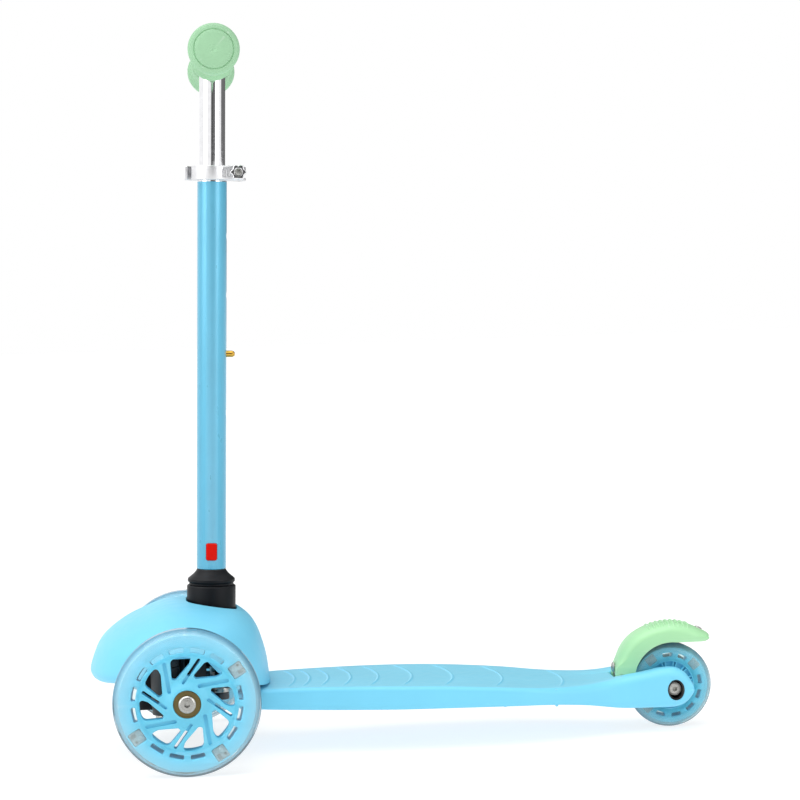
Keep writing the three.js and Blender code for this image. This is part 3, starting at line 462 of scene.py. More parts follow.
class Finish:
    """A Principled material that is built up layer by layer."""

    def __init__(self, name, colour, roughness, metallic=0.0):
        self.material = bpy.data.materials.new(name)
        self.material.use_nodes = True
        self.tree = self.material.node_tree
        self.shader = self.tree.nodes["Principled BSDF"]
        self.shader.inputs["Base Color"].default_value = colour
        self.shader.inputs["Roughness"].default_value = roughness
        self.shader.inputs["Metallic"].default_value = metallic
        self.colour = colour
        self.roughness = roughness
        self.place = self.node("ShaderNodeTexCoord").outputs["Object"]

    def node(self, kind, **inputs):
        made = self.tree.nodes.new(kind)
        for key, value in inputs.items():
            made.inputs[key].default_value = value
        return made

    def link(self, output, socket):
        self.tree.links.new(output, socket)

    def noise(self, size, detail=2.0, stretch=(1, 1, 1)):
        """Noise whose features are about size millimetres across, stretched along an axis."""
        mapping = self.node("ShaderNodeMapping", Scale=stretch)
        self.link(self.place, mapping.inputs["Vector"])
        texture = self.node("ShaderNodeTexNoise", Scale=1 / (size * MM), Detail=detail)
        self.link(mapping.outputs["Vector"], texture.inputs["Vector"])
        return texture.outputs["Fac"]

    def spread(self, source, low, high, start=0.3, end=0.7):
        """Maps a source between two numbers onto two others."""
        ranged = self.node("ShaderNodeMapRange")
        for key, value in (("From Min", start), ("From Max", end), ("To Min", low), ("To Max", high)):
            ranged.inputs[key].default_value = value
        self.link(source, ranged.inputs["Value"])
        return ranged.outputs["Result"]

    def tint(self, source, factor_colour):
        """Mixes the base colour towards another by a source from 0 to 1."""
        mix = self.node("ShaderNodeMix")
        mix.data_type = "RGBA"
        base = self.shader.inputs["Base Color"]
        first = mix.inputs[6]
        if base.is_linked:
            self.link(base.links[0].from_socket, first)
        else:
            first.default_value = self.colour
        mix.inputs[7].default_value = factor_colour
        self.link(source, mix.inputs[0])
        self.link(mix.outputs[2], base)
        return self

    def mottle(self, amount=0.06, size=40):
        """Uneven colour over patches, as moulded or cast stock has."""
        darker = tuple(c * (1 - amount) for c in self.colour[:3]) + (1,)
        return self.tint(self.spread(self.noise(size, 3), 0, 1), darker)

    def wear(self, amount=0.35, colour=None):
        """Lighter, rubbed edges where the surface is most convex."""
        pointiness = self.node("ShaderNodeNewGeometry").outputs["Pointiness"]
        edge = self.spread(pointiness, 0, amount, 0.53, 0.62)
        pale = colour or tuple(c + (1 - c) * 0.5 for c in self.colour[:3]) + (1,)
        return self.tint(edge, pale)

    def uneven(self, amount=0.06, size=8, stretch=(1, 1, 1)):
        """Roughness that changes from place to place, as handling leaves it."""
        low, high = max(0.02, self.roughness - amount), self.roughness + amount
        source = self.spread(self.noise(size, 5, stretch), low, high)
        self.link(source, self.shader.inputs["Roughness"])
        return self

    def bump(self, size, depth, strength=1.0, detail=2.0, stretch=(1, 1, 1)):
        """Relief of about size millimetres across and depth millimetres deep."""
        made = self.node("ShaderNodeBump", Strength=strength, Distance=depth * MM)
        self.link(self.noise(size, detail, stretch), made.inputs["Height"])
        normal = self.shader.inputs["Normal"]
        if normal.is_linked:
            self.link(normal.links[0].from_socket, made.inputs["Normal"])
        self.link(made.outputs["Normal"], normal)
        return self

    def round_axle(self, axle, start, end, low, high):
        """A value that changes with the distance from a wheel's axle, in millimetres."""
        last = self.place
        for operation, vector in (("SUBTRACT", axle * MM), ("MULTIPLY", (1, 0, 1)), ("LENGTH", None)):
            step = self.node("ShaderNodeVectorMath")
            step.operation = operation
            self.link(last, step.inputs[0])
            if vector is not None:
                step.inputs[1].default_value = vector
            last = step.outputs["Value" if operation == "LENGTH" else "Vector"]
        return self.spread(last, low, high, start * MM, end * MM)

    def set(self, **values):
        for key, value in values.items():
            self.shader.inputs[key.replace("_", " ")].default_value = value
        return self


def moulded(name, colour, roughness, grain=0.012):
    """Injection-moulded plastic: spark-eroded grain, slight mottling, rubbed edges."""
    finish = Finish(name, colour, roughness).mottle(0.05, 55).wear(0.3)
    return finish.uneven(0.05, 7).bump(0.35, grain, 0.6).bump(18, 0.05, 0.25)


def metal(name, colour, roughness, stretch=(1, 1, 1), brushed=0.004):
    finish = Finish(name, colour, roughness, 1.0).mottle(0.1, 5)
    return finish.uneven(min(0.08, roughness * 0.5), 2, stretch).bump(0.25, brushed, 0.5, 2, stretch)


def see_through(finish, clear):
    """Lets lamps shine through a clear material, so that what lies behind it is lit."""
    tree = finish.tree
    lamp = tree.nodes.new("ShaderNodeLightPath").outputs["Is Shadow Ray"]
    mix = tree.nodes.new("ShaderNodeMixShader")
    open_shader = tree.nodes.new("ShaderNodeBsdfTransparent")
    open_shader.inputs["Color"].default_value = clear
    tree.links.new(lamp, mix.inputs[0])
    tree.links.new(finish.shader.outputs[0], mix.inputs[1])
    tree.links.new(open_shader.outputs[0], mix.inputs[2])
    tree.links.new(mix.outputs[0], tree.nodes["Material Output"].inputs["Surface"])
    return finish


BLUE = srgb(126, 217, 249)
blue_plastic = moulded("blue_plastic", BLUE, 0.42).set(Specular_IOR_Level=0.4).material
# Deck top faces: their own grain, and a greyer blue that is painted light for how light falls on the top.
tread_plastic = moulded("tread_plastic", srgb(137, 216, 241), 0.5, 0.03).material
core_plastic = moulded("core_plastic", srgb(106, 204, 234), 0.4).material
blue_paint = (
    Finish("blue_paint", srgb(84, 180, 213), 0.32, 0.25)
    .mottle(0.06, 30)
    .wear(0.3)
    .uneven(0.05, 3, (1, 1, 0.2))
    .bump(0.5, 0.006, 0.5)
    .set(Coat_Weight=0.5, Coat_Roughness=0.18)
    .material
)
# Black nylon for the moulded black parts; painted into the axle screws' hexagon sockets it is painted shade.
black_nylon = moulded("black_nylon", srgb(15, 17, 21), 0.45, 0.02).set(Specular_IOR_Level=0.16).material
mint_rubber = (
    Finish("mint_rubber", srgb(160, 208, 166), 0.55)
    .mottle(0.08, 25)
    .wear(0.25)
    .uneven(0.08, 5)
    .bump(0.3, 0.02, 0.7)
    .set(Sheen_Weight=0.15, Sheen_Roughness=0.5)
    .material
)
green_plastic = moulded("green_plastic", srgb(172, 228, 174), 0.42).material
red_plastic = moulded("red_plastic", srgb(222, 14, 0), 0.35, 0.004).set(Specular_IOR_Level=0.12).material


def urethane(name, colour, axle, start, end):
    """Cast clear urethane that turns milky away from the axle; its outermost tread is tinted grey, as painted
    shade for the dark edge of the clear tyre.
    """
    finish = Finish(name, colour, 0.05).uneven(0.02, 6).bump(9, 0.05, 0.1)
    finish.set(IOR=1.33)
    clear = finish.round_axle(axle, start, end, 1.0, 0.74)
    # Painted shade: the outermost tread is tinted grey, for the dark edge the clear tyre shows.
    finish.tint(finish.round_axle(axle, end + 0.5, end + 3, 0, 1), srgb(150, 168, 178))
    finish.link(clear, finish.shader.inputs["Transmission Weight"])
    return see_through(finish, srgb(236, 248, 252)).material


front_urethane = urethane("front_urethane", srgb(232, 243, 243), FRONT_AXLE, 39, 56)
rear_urethane = urethane("rear_urethane", srgb(208, 236, 236), REAR_AXLE, 22, 33)
chrome = metal("chrome", srgb(236, 236, 238), 0.07, brushed=0.0004).material
steel = metal("steel", srgb(176, 176, 172), 0.3).material
# A near-white, mostly non-metallic finish: painted shine, so the rear axle screw stays bright in its dark
# cup.
zinc_painted_shine = Finish("zinc_plate", srgb(232, 232, 226), 0.4, 0.25).material
spring_steel = metal("spring_steel", srgb(120, 122, 126), 0.32).material
polished = metal("polished_aluminium", srgb(226, 226, 228), 0.42, (1, 1, 6)).material
bronze_seal = metal("bronze_seal", srgb(112, 100, 66), 0.38).material
brass = metal("brass", srgb(206, 164, 74), 0.22, (8, 1, 1)).material
# Dark steel for the lamps' coils and the tube's openings; in the axle bolts' grooves and the clamp's pocket
# it is painted shade.
dark_steel = metal("dark_steel", srgb(70, 70, 72), 0.4).material
led_grey = (
    Finish("led_grey", srgb(152, 174, 184), 0.35)
    .mottle(0.18, 3)
    .bump(1.2, 0.05, 0.5)
    .set(Coat_Weight=0.6, Coat_Roughness=0.1)
    .material
)

# ---------------------------------------------------------------- shared pieces


def node_copy(node, width=0.3, smoother=0, angle=35):
    """A CAD node's own shape, in millimetres, with its edges rounded or its wire smoothed."""
    mesh = frame["nodes"][node].data.copy()
    mesh.materials.clear()
    shape = bpy.data.objects.new("shape", mesh)
    scene.collection.objects.link(shape)
    place(shape, Matrix.Scale(1 / MM, 4))
    mend(shape, 0.005)
    flat = bmesh.new()
    flat.from_mesh(shape.data)
    bmesh.ops.dissolve_limit(flat, angle_limit=0.01, verts=flat.verts, edges=flat.edges)
    flat.to_mesh(shape.data)
    flat.free()
    if width:
        soften(shape, width, angle)
    if smoother:
        modifier = shape.modifiers.new("smooth", "SUBSURF")
        modifier.levels = smoother
        modifier.render_levels = smoother
        apply_modifiers(shape)
    return shape


def carried(node, body, material, width=0.3, smoother=0):
    """A hidden or plain piece: the CAD node's own shape, softened."""
    return finish_piece(f"{node}_made", node_copy(node, width, smoother), body, [node], material)


def hexagon(across_flats):
    return [polar(across_flats / math.sqrt(3), 30 + 60 * k) for k in range(6)]


def faces_where(shape, material, test):
    """Adds a second material on the faces that pass a test."""
    shape.data.materials.append(material)
    index = len(shape.data.materials) - 1
    for polygon in shape.data.polygons:
        if test(polygon):
            polygon.material_index = index
    return shape


def copy_of(shape):
    made = bpy.data.objects.new("shape", shape.data.copy())
    scene.collection.objects.link(made)
    return made


# ---------------------------------------------------------------- wheels

SPOKES = 8
SPOKE_START = 17.7  # degrees from forwards over the top to the first spoke's outer end
SPOKE_SWEEP = 33.6
WINDOW_OFFSET = -27.6
LED_ANGLES = (148, 238, 328)
DASH_START = 148
DASH_PITCH = 22.5


def turned(point, degrees):
    """A point given outwards and across, turned about the axle."""
    angle = math.radians(degrees)
    across, up = point
    return (
        across * math.cos(angle) - up * math.sin(angle),
        across * math.sin(angle) + up * math.cos(angle),
    )


def spoke_line(k, radius):
    """The point of spoke k's centre line at a distance from the axle."""
    start = Vector(polar(38, SPOKE_START + 45 * k))
    end = Vector(polar(15.5, SPOKE_START + 45 * k - SPOKE_SWEEP))
    for step in range(101):
        point = start.lerp(end, step / 100)
        if point.length <= radius:
            break
    return point


# Corners of a window between two spokes: outwards, across, and how round each is.
WINDOW_CORNERS = (
    (37.3, -6.2, 4.5), (38.4, 2.5, 20), (36.9, 11.6, 2.6),
    (30.3, 8.0, 7), (20.4, -5.0, 1.5), (21.2, -8.2, 2.4),
)


def spoke_window(k):
    """A leaning teardrop between two spokes."""
    heading = SPOKE_START + WINDOW_OFFSET + 360 / SPOKES * k
    return rounded([(*turned((out, across), heading), corner) for out, across, corner in WINDOW_CORNERS])


def dash(radius, degrees, length, height, corner):
    """A short slot that follows the rim."""
    half = math.degrees(length / 2 / radius)
    outside = arc(radius + height / 2, degrees - half, degrees + half, 6)
    inside = arc(radius - height / 2, degrees + half, degrees - half, 6)
    ends = {0, 6}
    points = [(*p, corner if i in ends else 0) for i, p in enumerate(outside)]
    points += [(*p, corner if i in ends else 0) for i, p in enumerate(inside)]
    return rounded(points, 3)


def led_pocket(degrees, low=42.8, high=53.7, half=5.6):
    corners = ((low, -half), (high, -half), (high, half), (low, half))
    return rounded([(*turned(corner, degrees), 1.3) for corner in corners], 4)


def front_dashes(growth=0.0):
    headings = [DASH_START - DASH_PITCH * k for k in range(16) if k not in (0, 8, 12)]
    return [dash(43.9, heading, 12 + 2 * growth, 3.5 + 2 * growth, 1.2 + growth) for heading in headings]


def front_core():
    """One moulding: a sloped hub, eight swept spokes with grooves, a rim with dashes and pockets."""
    windows = [spoke_window(k) for k in range(SPOKES)]
    slots = [stadium(spoke_line(k, 36.4), spoke_line(k, 23.5), 2.7) for k in range(0, SPOKES, 2)]
    pockets = [led_pocket(degrees) for degrees in LED_ANGLES]
    holes = [circle(BEARING_SEAT), *windows, *slots, *front_dashes(), *pockets]
    body = plate(circle(55, 192), -RIM_HALF_WIDTH, RIM_HALF_WIDTH, holes, 0.45)
    hollow = [(HUB_RADIUS + 2, -9), (38.4, -9), (38.4, -2.5, 1), (HUB_RADIUS + 2, -2.5, 1)]
    cut(body, lathe(rounded(hollow, 3), "y", 96))
    foot = 20.5
    rise = curve_through((BEARING_SEAT, 13, 15.5, 18, foot), (11.4, 11.1, 9.6, 8.2, 7.4))
    slope = [(float(r), float(rise(r)), 0) for r in np.linspace(12.2, foot, 12)]
    front = [(BEARING_SEAT, 5), (foot, 5), *slope[::-1], (BEARING_SEAT, HUB_HALF_WIDTH, 0.3)]
    back = [
        (BEARING_SEAT, -2), (HUB_RADIUS + 2, -2), (HUB_RADIUS + 1, -9, 1),
        (13, -HUB_HALF_WIDTH, 1), (BEARING_SEAT, -HUB_HALF_WIDTH, 0.3),
    ]
    for hub in (front, back):
        unite(body, lathe(rounded(hub, 4), "y", 96))
    grooves = []
    for k in range(SPOKES):
        outer_end, width = (36.8, 3.2) if k % 2 else (22.4, 2.6)
        line = stadium(spoke_line(k, outer_end), spoke_line(k, 17.6), width)
        grooves.append(plate(line, RIM_HALF_WIDTH - 1.7, 12, (), 0.3, 2))
    return cut(body, joined(*grooves))


def tyre_profile(radius, lip, channel):
    """Clear tyre cast onto the rim: cheeks over its sides, and a rounded tread."""
    half, cheek = TYRE_HALF_WIDTH, RIM_HALF_WIDTH - 0.4
    side = [
        (lip - 0.4, cheek + 0.7, 0.3),
        (lip + 2.5, half - 1.6, 3),
        (lip + 7, half, 5),
        (radius - 4.4, half - 1.2, 4),
        (radius, half - 6.5, 5),
    ]
    mirrored = [(p[0], -p[1], p[2]) for p in reversed(side)]
    inside = [(lip, -cheek, 0.4), (channel, -cheek, 0.5), (channel, cheek, 0.5), (lip, cheek, 0.4)]
    return rounded(side + mirrored + inside, 6)


def bearing():
    """Ball bearing: steel rings behind a bronze-coloured shield on each face."""
    half = 3.5
    face = [(4, half, 0.3), (6.2, half, 0.15), (6.3, half - 0.4, 0), (9.9, half - 0.4, 0), (10, half, 0.15)]
    face.append((BEARING_RADIUS, half, 0.4))
    mirrored = [(p[0], -p[1], p[2]) for p in reversed(face)]
    ring = painted(lathe(rounded(face + mirrored, 3), "y", 72), steel)
    return faces_where(
        ring, bronze_seal, lambda p: math.hypot(p.center.x, p.center.z) > 6 and abs(p.center.y) > half - 0.6
    )


def led_module():
    """A light block seen through the tyre: a housing with a lamp dome and a coil on each face."""
    corners = ((43.4, -5.3), (53.1, -5.3), (53.1, 5.3), (43.4, 5.3))
    body = plate(rounded([(*corner, 1.2) for corner in corners]), -6, 6, (), 0.5)
    painted(body, led_grey)
    parts = [body]
    for sign in (1, -1):
        dome = rounded([(0, 5.8), (2.4, 5.8), (2.4, 6.3, 0.4), (1.5, 6.9, 0.7), (0, 6.9)], 3, False)
        parts.append(painted(move(lathe([(r, sign * y) for r, y in dome], "y", 24), 46.6, 0, -1.6), led_grey))
        for across in (1.4, 2.4, 3.4):
            wire = [(51 - 0.4 * a, sign * 6.15, across + 0.35 * math.sin(a)) for a in range(-4, 9)]
            parts.append(painted(bar([Vector(p) for p in wire], 0.32, 8), dark_steel))
        parts.append(painted(move(rod(1.1, 5.6, 6.5, "y", 0.2, 20), 50.6, 0, -2.9), dark_steel))
        if sign < 0:
            place(parts[-1], Matrix.Scale(-1, 4, (0, 1, 0)))
    return joined(*parts)


def wheel_place(side):
    if side == "left":
        return Matrix.Translation(FRONT_AXLE)
    return Matrix.Translation((FRONT_AXLE.x, -FRONT_AXLE.y, FRONT_AXLE.z)) @ Matrix.Rotation(math.pi, 4, "Z")


def add_bearings(label, body):
    for end in ("left", "right"):
        node = f"{label}_bearing_{end}"
        spot = centre_of(node)
        shape = move(bearing(), *spot)
        finish_piece(f"{node}_rings", shape, body, [node])


def front_wheels():
    core = front_core()
    tyre = lathe(tyre_profile(FRONT_RADIUS, 39, 54.6), "y", 192)
    unite(tyre, *[plate(plug, -7.3, 7.3, (), 0.02, 1) for plug in front_dashes(0.15)])
    module = led_module()
    for side in ("left", "right"):
        label = f"front_{side}"
        body = f"{label}_wheel"
        spot = wheel_place(side)
        finish_piece(
            f"{label}_spoked_core", copy_of(core), body, [f"{label}_wheel_core"],
            core_plastic, spot,
        )
        finish_piece(
            f"{label}_clear_tyre", copy_of(tyre), body, [f"{label}_tyre"],
            front_urethane, spot,
        )
        for i, degrees in enumerate(LED_ANGLES):
            lamp = turn(copy_of(module), -degrees, "Y")
            finish_piece(
                f"{label}_light_{i + 1}", lamp, body, [f"{label}_led_module_{i + 1}"], None, spot
            )
        add_bearings(label, body)
    for shape in (core, tyre, module):
        bpy.data.objects.remove(shape)


def axle_bolts():
    """A domed, flanged head with a groove round its hexagon socket, and a plain shank."""
    head = HUB_HALF_WIDTH + 0.3
    start = KINGPIN_Y + 5.3 - FRONT_AXLE.y
    profile = [
        (0, start), (AXLE_RADIUS, start, 0.4), (AXLE_RADIUS, head), (7, head, 0.2), (7, head + 0.7, 0.3),
        (5.7, head + 1.6, 1.4), (0, head + 2.0),
    ]
    for side in ("left", "right"):
        bolt = painted(lathe(rounded(profile, 4, False), "y", 72), steel)
        # Painted shade: the groove takes dark steel and the hexagon socket black, to darken these recesses.
        groove = lathe([(4.1, head + 1.5), (4.7, head + 1.5), (4.7, head + 3), (4.1, head + 3)], "y", 72)
        cut(bolt, painted(groove, dark_steel))
        cut(bolt, painted(plate(hexagon(4.4), head - 2.6, head + 4, (), 0.02, 1), black_nylon))
        spot = wheel_place(side)
        finish_piece(
            f"{side}_axle_screw", bolt, f"{side}_knuckle", [f"{side}_axle_bolt"], None, spot
        )


REAR_LIGHTS = (54, 140.5, 318)
REAR_DASHES = (-13, 20, 86, 115, 171, 200, 229, 260, 290)
REAR_DASH_RADIUS = 26.5


def rear_wheel():
    """The small wheel: a stepped web, pairs of short ribs, rim dashes and three light blocks."""
    spot = Matrix.Translation(REAR_AXLE)
    dashes = [dash(REAR_DASH_RADIUS, degrees, 8, 3, 1.1) for degrees in REAR_DASHES]
    ring = plate(circle(32, 128), -RIM_HALF_WIDTH, RIM_HALF_WIDTH, [circle(20.2), *dashes], 0.4)
    web = plate(circle(20.8), -4, 4, [circle(BEARING_SEAT)], 0.1, 1)
    ribs = []
    for k in range(12):
        for offset in (-4.2, 4.2):
            heading = 15 + 30 * k + offset
            line = stadium(polar(15.2, heading), polar(20.9, heading), 1.1, 4)
            ribs.append(plate(line, -6.9, 6.9, (), 0.25, 2))
    hubs = []
    for sign in (1, -1):
        hub = rounded([(BEARING_SEAT, 3), (16.2, 3), (15.3, 11.4, 0.7), (BEARING_SEAT, 11.4, 0.4)], 3)
        hubs.append(lathe([(r, sign * y) for r, y in hub], "y", 96))
    core = unite(ring, web)
    for rib in ribs:
        unite(core, rib)
    unite(core, *hubs)
    blocks = []
    for degrees in REAR_LIGHTS:
        corners = ((24, -4.4), (30.9, -4.4), (30.9, 4.4), (24, 4.4))
        outline = rounded([(*turned(corner, degrees), 1) for corner in corners])
        blocks.append(painted(plate(outline, -7.8, 7.8, (), 0.25), led_grey))
    painted(core, core_plastic)
    finish_piece(
        "rear_ribbed_core", joined(core, *blocks), "rear_wheel", ["rear_wheel_core"],
        None, spot,
    )
    tyre = lathe(tyre_profile(REAR_RADIUS, 21.5, 31.6), "y", 144)
    plugs = [dash(REAR_DASH_RADIUS, degrees, 8.3, 3.3, 1.2) for degrees in REAR_DASHES]
    unite(tyre, *[plate(plug, -7.3, 7.3, (), 0.02, 1) for plug in plugs])
    finish_piece("rear_clear_tyre", tyre, "rear_wheel", ["rear_tyre"], rear_urethane, spot)
    add_bearings("rear", "rear_wheel")


front_wheels()
axle_bolts()
rear_wheel()

# ---------------------------------------------------------------- deck

# Half width, top and bottom of the deck along x. The top falls to the waist and climbs to the fork.
DECK_WIDTH = curve_through(
    (-190, -179, -170, -155, -135, -115, -90, -60, -25, 8, 42, 85, 118, 146),
    (37, 38, 40, 45.5, 52.5, 58.5, 63.5, 65.6, 66, 64.8, 61, 55.5, 52, 46),
)
DECK_TOP = curve_through(
    (-227, -218, -206, -190, -172, -150, -120, -90, -60, -25, 8, 42, 85, 118, 146),
    (55.1, 54.5, 52.2, 49.8, 47.1, 45.5, 46.2, 48.8, 51.2, 53.4, 54.6, 55.4, 55.7, 55.3, 55.2),
)
DECK_BOTTOM = curve_through(
    (-227, -210, -190, -172, -155, -135, -115, -90, -60, -25, 8, 42, 85, 118, 146),
    (21.3, 21.5, 22.2, 24.8, 28, 30.6, 32.3, 33.4, 34.2, 34.8, 35.2, 35.8, 36.8, 38, 39),
)
FORK_CREST_X = -227
FORK_END_X = -246.2
FORK_END_Z = 36
SLOT_HALF_WIDTH = 15
SLOT_FRONT = -181
SLOT_CORNER = 1.5
FORK_BLUNT = 0.998  # the loops stop just short of the nose's tip, so the end keeps some height
RIDGE_APEX = (94, 81, 65.1, 45.8, 22.2, -6.6, -41.7, -84.5, -136.7)
RIDGE_RADIUS = 132
RIDGE_HEIGHT = 0.8
RIDGE_WIDTH = 1.0
DECK_WALL = 3
RIB_X = (100, 55, 10, -35, -80, -125)


def deck_half_width(x):
    return np.where(x > -190, DECK_WIDTH(np.maximum(x, -190)), 37)


def deck_heights(x):
    """Top and bottom at x. Behind the fork's crest they close in a rounded nose."""
    inside = np.clip((FORK_CREST_X - x) / (FORK_CREST_X - FORK_END_X), 0, 1)
    reach = (1 - inside**2) ** 0.54
    held = np.maximum(x, FORK_CREST_X)
    top = FORK_END_Z + (DECK_TOP(held) - FORK_END_Z) * reach
    bottom = FORK_END_Z - (FORK_END_Z - DECK_BOTTOM(held)) * reach
    return top, bottom


def bend_of(s, y):
    """How far forward of s a loop lies at y, so that loops follow the moulded ridges."""
    follow = smoothstep(128, 108, s) * smoothstep(-166, -148, s)
    return follow * y**2 / (2 * RIDGE_RADIUS)


def deck_columns(half_width, edge):
    """Distances from the middle across the flat top, dense beside the wheel slot."""
    inner = [0, 4, 8, 11, 13, 14.2, 14.9, 15.02, 15.2, 15.45, 15.8, 16.3, 17, 18, 20, 22.5]
    outer = np.linspace(25, half_width - edge, 9)
    return np.concatenate([inner, outer])


def deck_loop(s):
    """One closed cross-section of the deck's outside, as rows of x, y, z."""
    x_side = s
    for _ in range(3):
        half = float(deck_half_width(np.array(x_side)))
        x_side = s + float(bend_of(np.array(s), np.array(half)))
    top, bottom = (float(v) for v in deck_heights(np.array(x_side)))
    depth = top - bottom
    edge = min(4 + 4.5 * float(smoothstep(-112, -150, s)), 0.48 * depth)
    low_edge = min(1.4 + 5 * float(smoothstep(-175, -200, s)), 0.48 * depth)
    draft = min(1.0, 0.2 * depth)
    rows = [(y, 0.0, "top") for y in deck_columns(half - draft, edge)]
    for k in range(1, 9):
        angle = k / 8 * math.pi / 2
        rows.append((half - draft - edge * (1 - math.sin(angle)), edge * (1 - math.cos(angle)), "top"))
    for k in range(1, 4):
        rows.append((half - draft * (1 - k / 4), edge + (depth - edge - low_edge) * k / 4, "top"))
    for k in range(6):
        angle = k / 5 * math.pi / 2
        rows.append((half - low_edge * (1 - math.cos(angle)), low_edge * (1 - math.sin(angle)), "bottom"))
    for y in deck_columns(half, low_edge)[::-1][1:]:
        rows.append((y, 0.0, "bottom"))
    y = np.array([row[0] for row in rows])
    drop = np.array([row[1] for row in rows])
    upper = np.array([row[2] == "top" for row in rows])
    x = s + bend_of(np.array(s), y)
    tops, bottoms = deck_heights(x)
    z = np.where(upper, tops - drop, bottoms + drop)
    centred = np.clip(y, 15, 26)
    crown = 1.6 * ((centred - 26) / 11) ** 2 * smoothstep(-135, -178, x) * upper
    z = z - crown * np.clip((z - bottom) / depth, 0, 1) ** 2
    right = list(zip(x, y, z))
    left = [(a, -b, c) for a, b, c in right if b > 0]
    return right + left[::-1]


def deck_steps():
    """Positions of the loops along the deck, close together at ridges, slot front and fork end."""
    near = (-3, -2.3, -1.75, -1.3, -0.95, -0.62, -0.3, 0, 0.3, 0.62, 0.95, 1.3, 1.75, 2.3, 3)
    steps = {round(apex + d, 3) for apex in RIDGE_APEX for d in near}
    sparse = np.concatenate([np.arange(146, -178, -4), np.arange(-178, FORK_CREST_X, -2.5)])
    steps |= {round(float(s), 3) for s in sparse if all(abs(s - apex) > 4 for apex in RIDGE_APEX)}
    steps |= {round(float(s), 3) for s in np.arange(-177, -184, -0.5)}
    turns = np.linspace(0, math.pi / 2, 24)
    nose = (FORK_END_X - FORK_CREST_X) * FORK_BLUNT
    steps |= {round(FORK_CREST_X + nose * math.sin(a), 3) for a in turns}
    return sorted(steps, reverse=True)


def add_ridges(shape):
    """Raises the grip ridges on the flat top."""
    count = len(shape.data.vertices)
    points = np.empty(count * 3)
    shape.data.vertices.foreach_get("co", points)
    points = points.reshape(-1, 3)
    x, y, z = points.T
    s = x - y**2 / (2 * RIDGE_RADIUS)
    top, _ = deck_heights(x)
    half = deck_half_width(x)
    on_top = (z > top - 1.2) & (x > -166) & (x < 125)
    fade = smoothstep(0, 1, np.clip((half - 8 - np.abs(y)) / 7, 0, 1))
    for apex in RIDGE_APEX:
        raise_by = RIDGE_HEIGHT * np.exp(-(((s - apex) / RIDGE_WIDTH) ** 2)) * fade
        points[:, 2] += np.where(on_top, raise_by, 0)
    shape.data.vertices.foreach_set("co", points.ravel())
    shape.data.update()


def slot_outline():
    half, front = SLOT_HALF_WIDTH, SLOT_FRONT
    corners = [(-260, half, 0), (front, half, SLOT_CORNER), (front, -half, SLOT_CORNER), (-260, -half, 0)]
    return rounded(corners, 8)


def round_slot_edge(shape, radius=2.2):
    """Rounds the edge where the deck's top and bottom fall into the wheel slot."""
    count = len(shape.data.vertices)
    points = np.empty(count * 3)
    shape.data.vertices.foreach_get("co", points)
    points = points.reshape(-1, 3)
    x, y, z = points.T
    corner_x, corner_y = SLOT_FRONT - SLOT_CORNER, SLOT_HALF_WIDTH - SLOT_CORNER
    across = np.maximum(np.abs(y) - corner_y, 0)
    ahead = np.maximum(x - corner_x, 0)
    distance = np.where(x < corner_x, np.abs(y) - SLOT_HALF_WIDTH, np.hypot(across, ahead) - SLOT_CORNER)
    distance = np.clip(distance, 0, radius)
    lowered = radius - np.sqrt(radius**2 - (radius - distance) ** 2)
    top, bottom = deck_heights(x)
    middle = (top + bottom) / 2
    reach = np.clip(np.abs(z - middle) / np.maximum((top - bottom) / 2, 0.5), 0, 1) ** 6
    near = (x < SLOT_FRONT + radius + 1) & (np.abs(y) < SLOT_HALF_WIDTH + radius + 1)
    points[:, 2] -= np.where(near, np.sign(z - middle) * lowered * reach, 0)
    shape.data.vertices.foreach_set("co", points.ravel())
    shape.data.update()


HOLLOW_STATIONS = (
    143, 130, 118, 100, 85, 60, 42, 20, 8, -10, -25, -45,
    -60, -75, -90, -103, -115, -125, -135, -145, -155, -163, -170, -177.5,
)


def deck_hollow():
    """The open underside: one deep tray left hollow between the walls."""
    loops = []
    for x in HOLLOW_STATIONS:
        half = float(deck_half_width(np.array(x))) - DECK_WALL
        top = float(deck_heights(np.array(x))[0]) - DECK_WALL - 0.3
        corner = rounded([(-half, 15), (-half, top, 3), (half, top, 3), (half, 15)], 5)
        loops.append([(x, a, b) for a, b in corner])
    return loft(loops)


def deck_ribs():
    """Stiffening ribs that hang from the top inside the tray."""
    ribs = [block((x - 1, x + 1), (-70, 70), (30, 60)) for x in RIB_X]
    ribs += [block((-177.9, 143.5), (y - 1, y + 1), (30, 60)) for y in (-20, 20)]
    room = []
    for x in (143.5, 118, 85, 42, 8, -25, -60, -90, -115, -135, -155, -170, -178):
        half = float(deck_half_width(np.array(x))) - DECK_WALL + 0.5
        top = float(deck_heights(np.array(x))[0])
        low, high = top - DECK_WALL - 13.5, top - 1.4
        room.append([(x, a, b) for a, b in ((-half, low), (-half, high), (half, high), (half, low))])
    grid = ribs[0]
    unite(grid, *ribs[1:])
    return boolean(grid, "INTERSECT", loft(room))


def deck():
    """A ribbed tray whose tail forks round the rear wheel."""
    shape = loft([deck_loop(s) for s in deck_steps()])
    add_ridges(shape)
    cut(shape, plate(slot_outline(), 0, 90, (), 0.01, 1, "xy"))
    round_slot_edge(shape)
    cut(shape, deck_hollow())
    unite(shape, deck_ribs())
    axle = (REAR_AXLE.x, REAR_AXLE.z)
    tools = []
    for sign in (1, -1):
        pad = move(rod(6.5, 11.8, 15.5, "y", 0.3), axle[0], 0, axle[1])
        if sign < 0:
            place(pad, Matrix.Scale(-1, 4, (0, 1, 0)))
        unite(shape, pad)
        near, far = sorted((sign * 19.7, sign * 40))
        tools.append(plate(oval(7.3, 8.8, axle), near, far, (), 0.01, 1))
        near, far = sorted((sign * 10, sign * 24))
        tools.append(move(rod(AXLE_RADIUS + 0.3, near, far, "y"), axle[0], 0, axle[1]))
        tools.append(move(rod(2.8, *sorted((sign * 14, sign * 24)), "y"), BRAKE_PIN[0], 0, BRAKE_PIN[1]))
        tools.append(move(rod(2.8, 40, 60), 131, sign * 29, 0))
    cut(shape, *tools)
    return shape


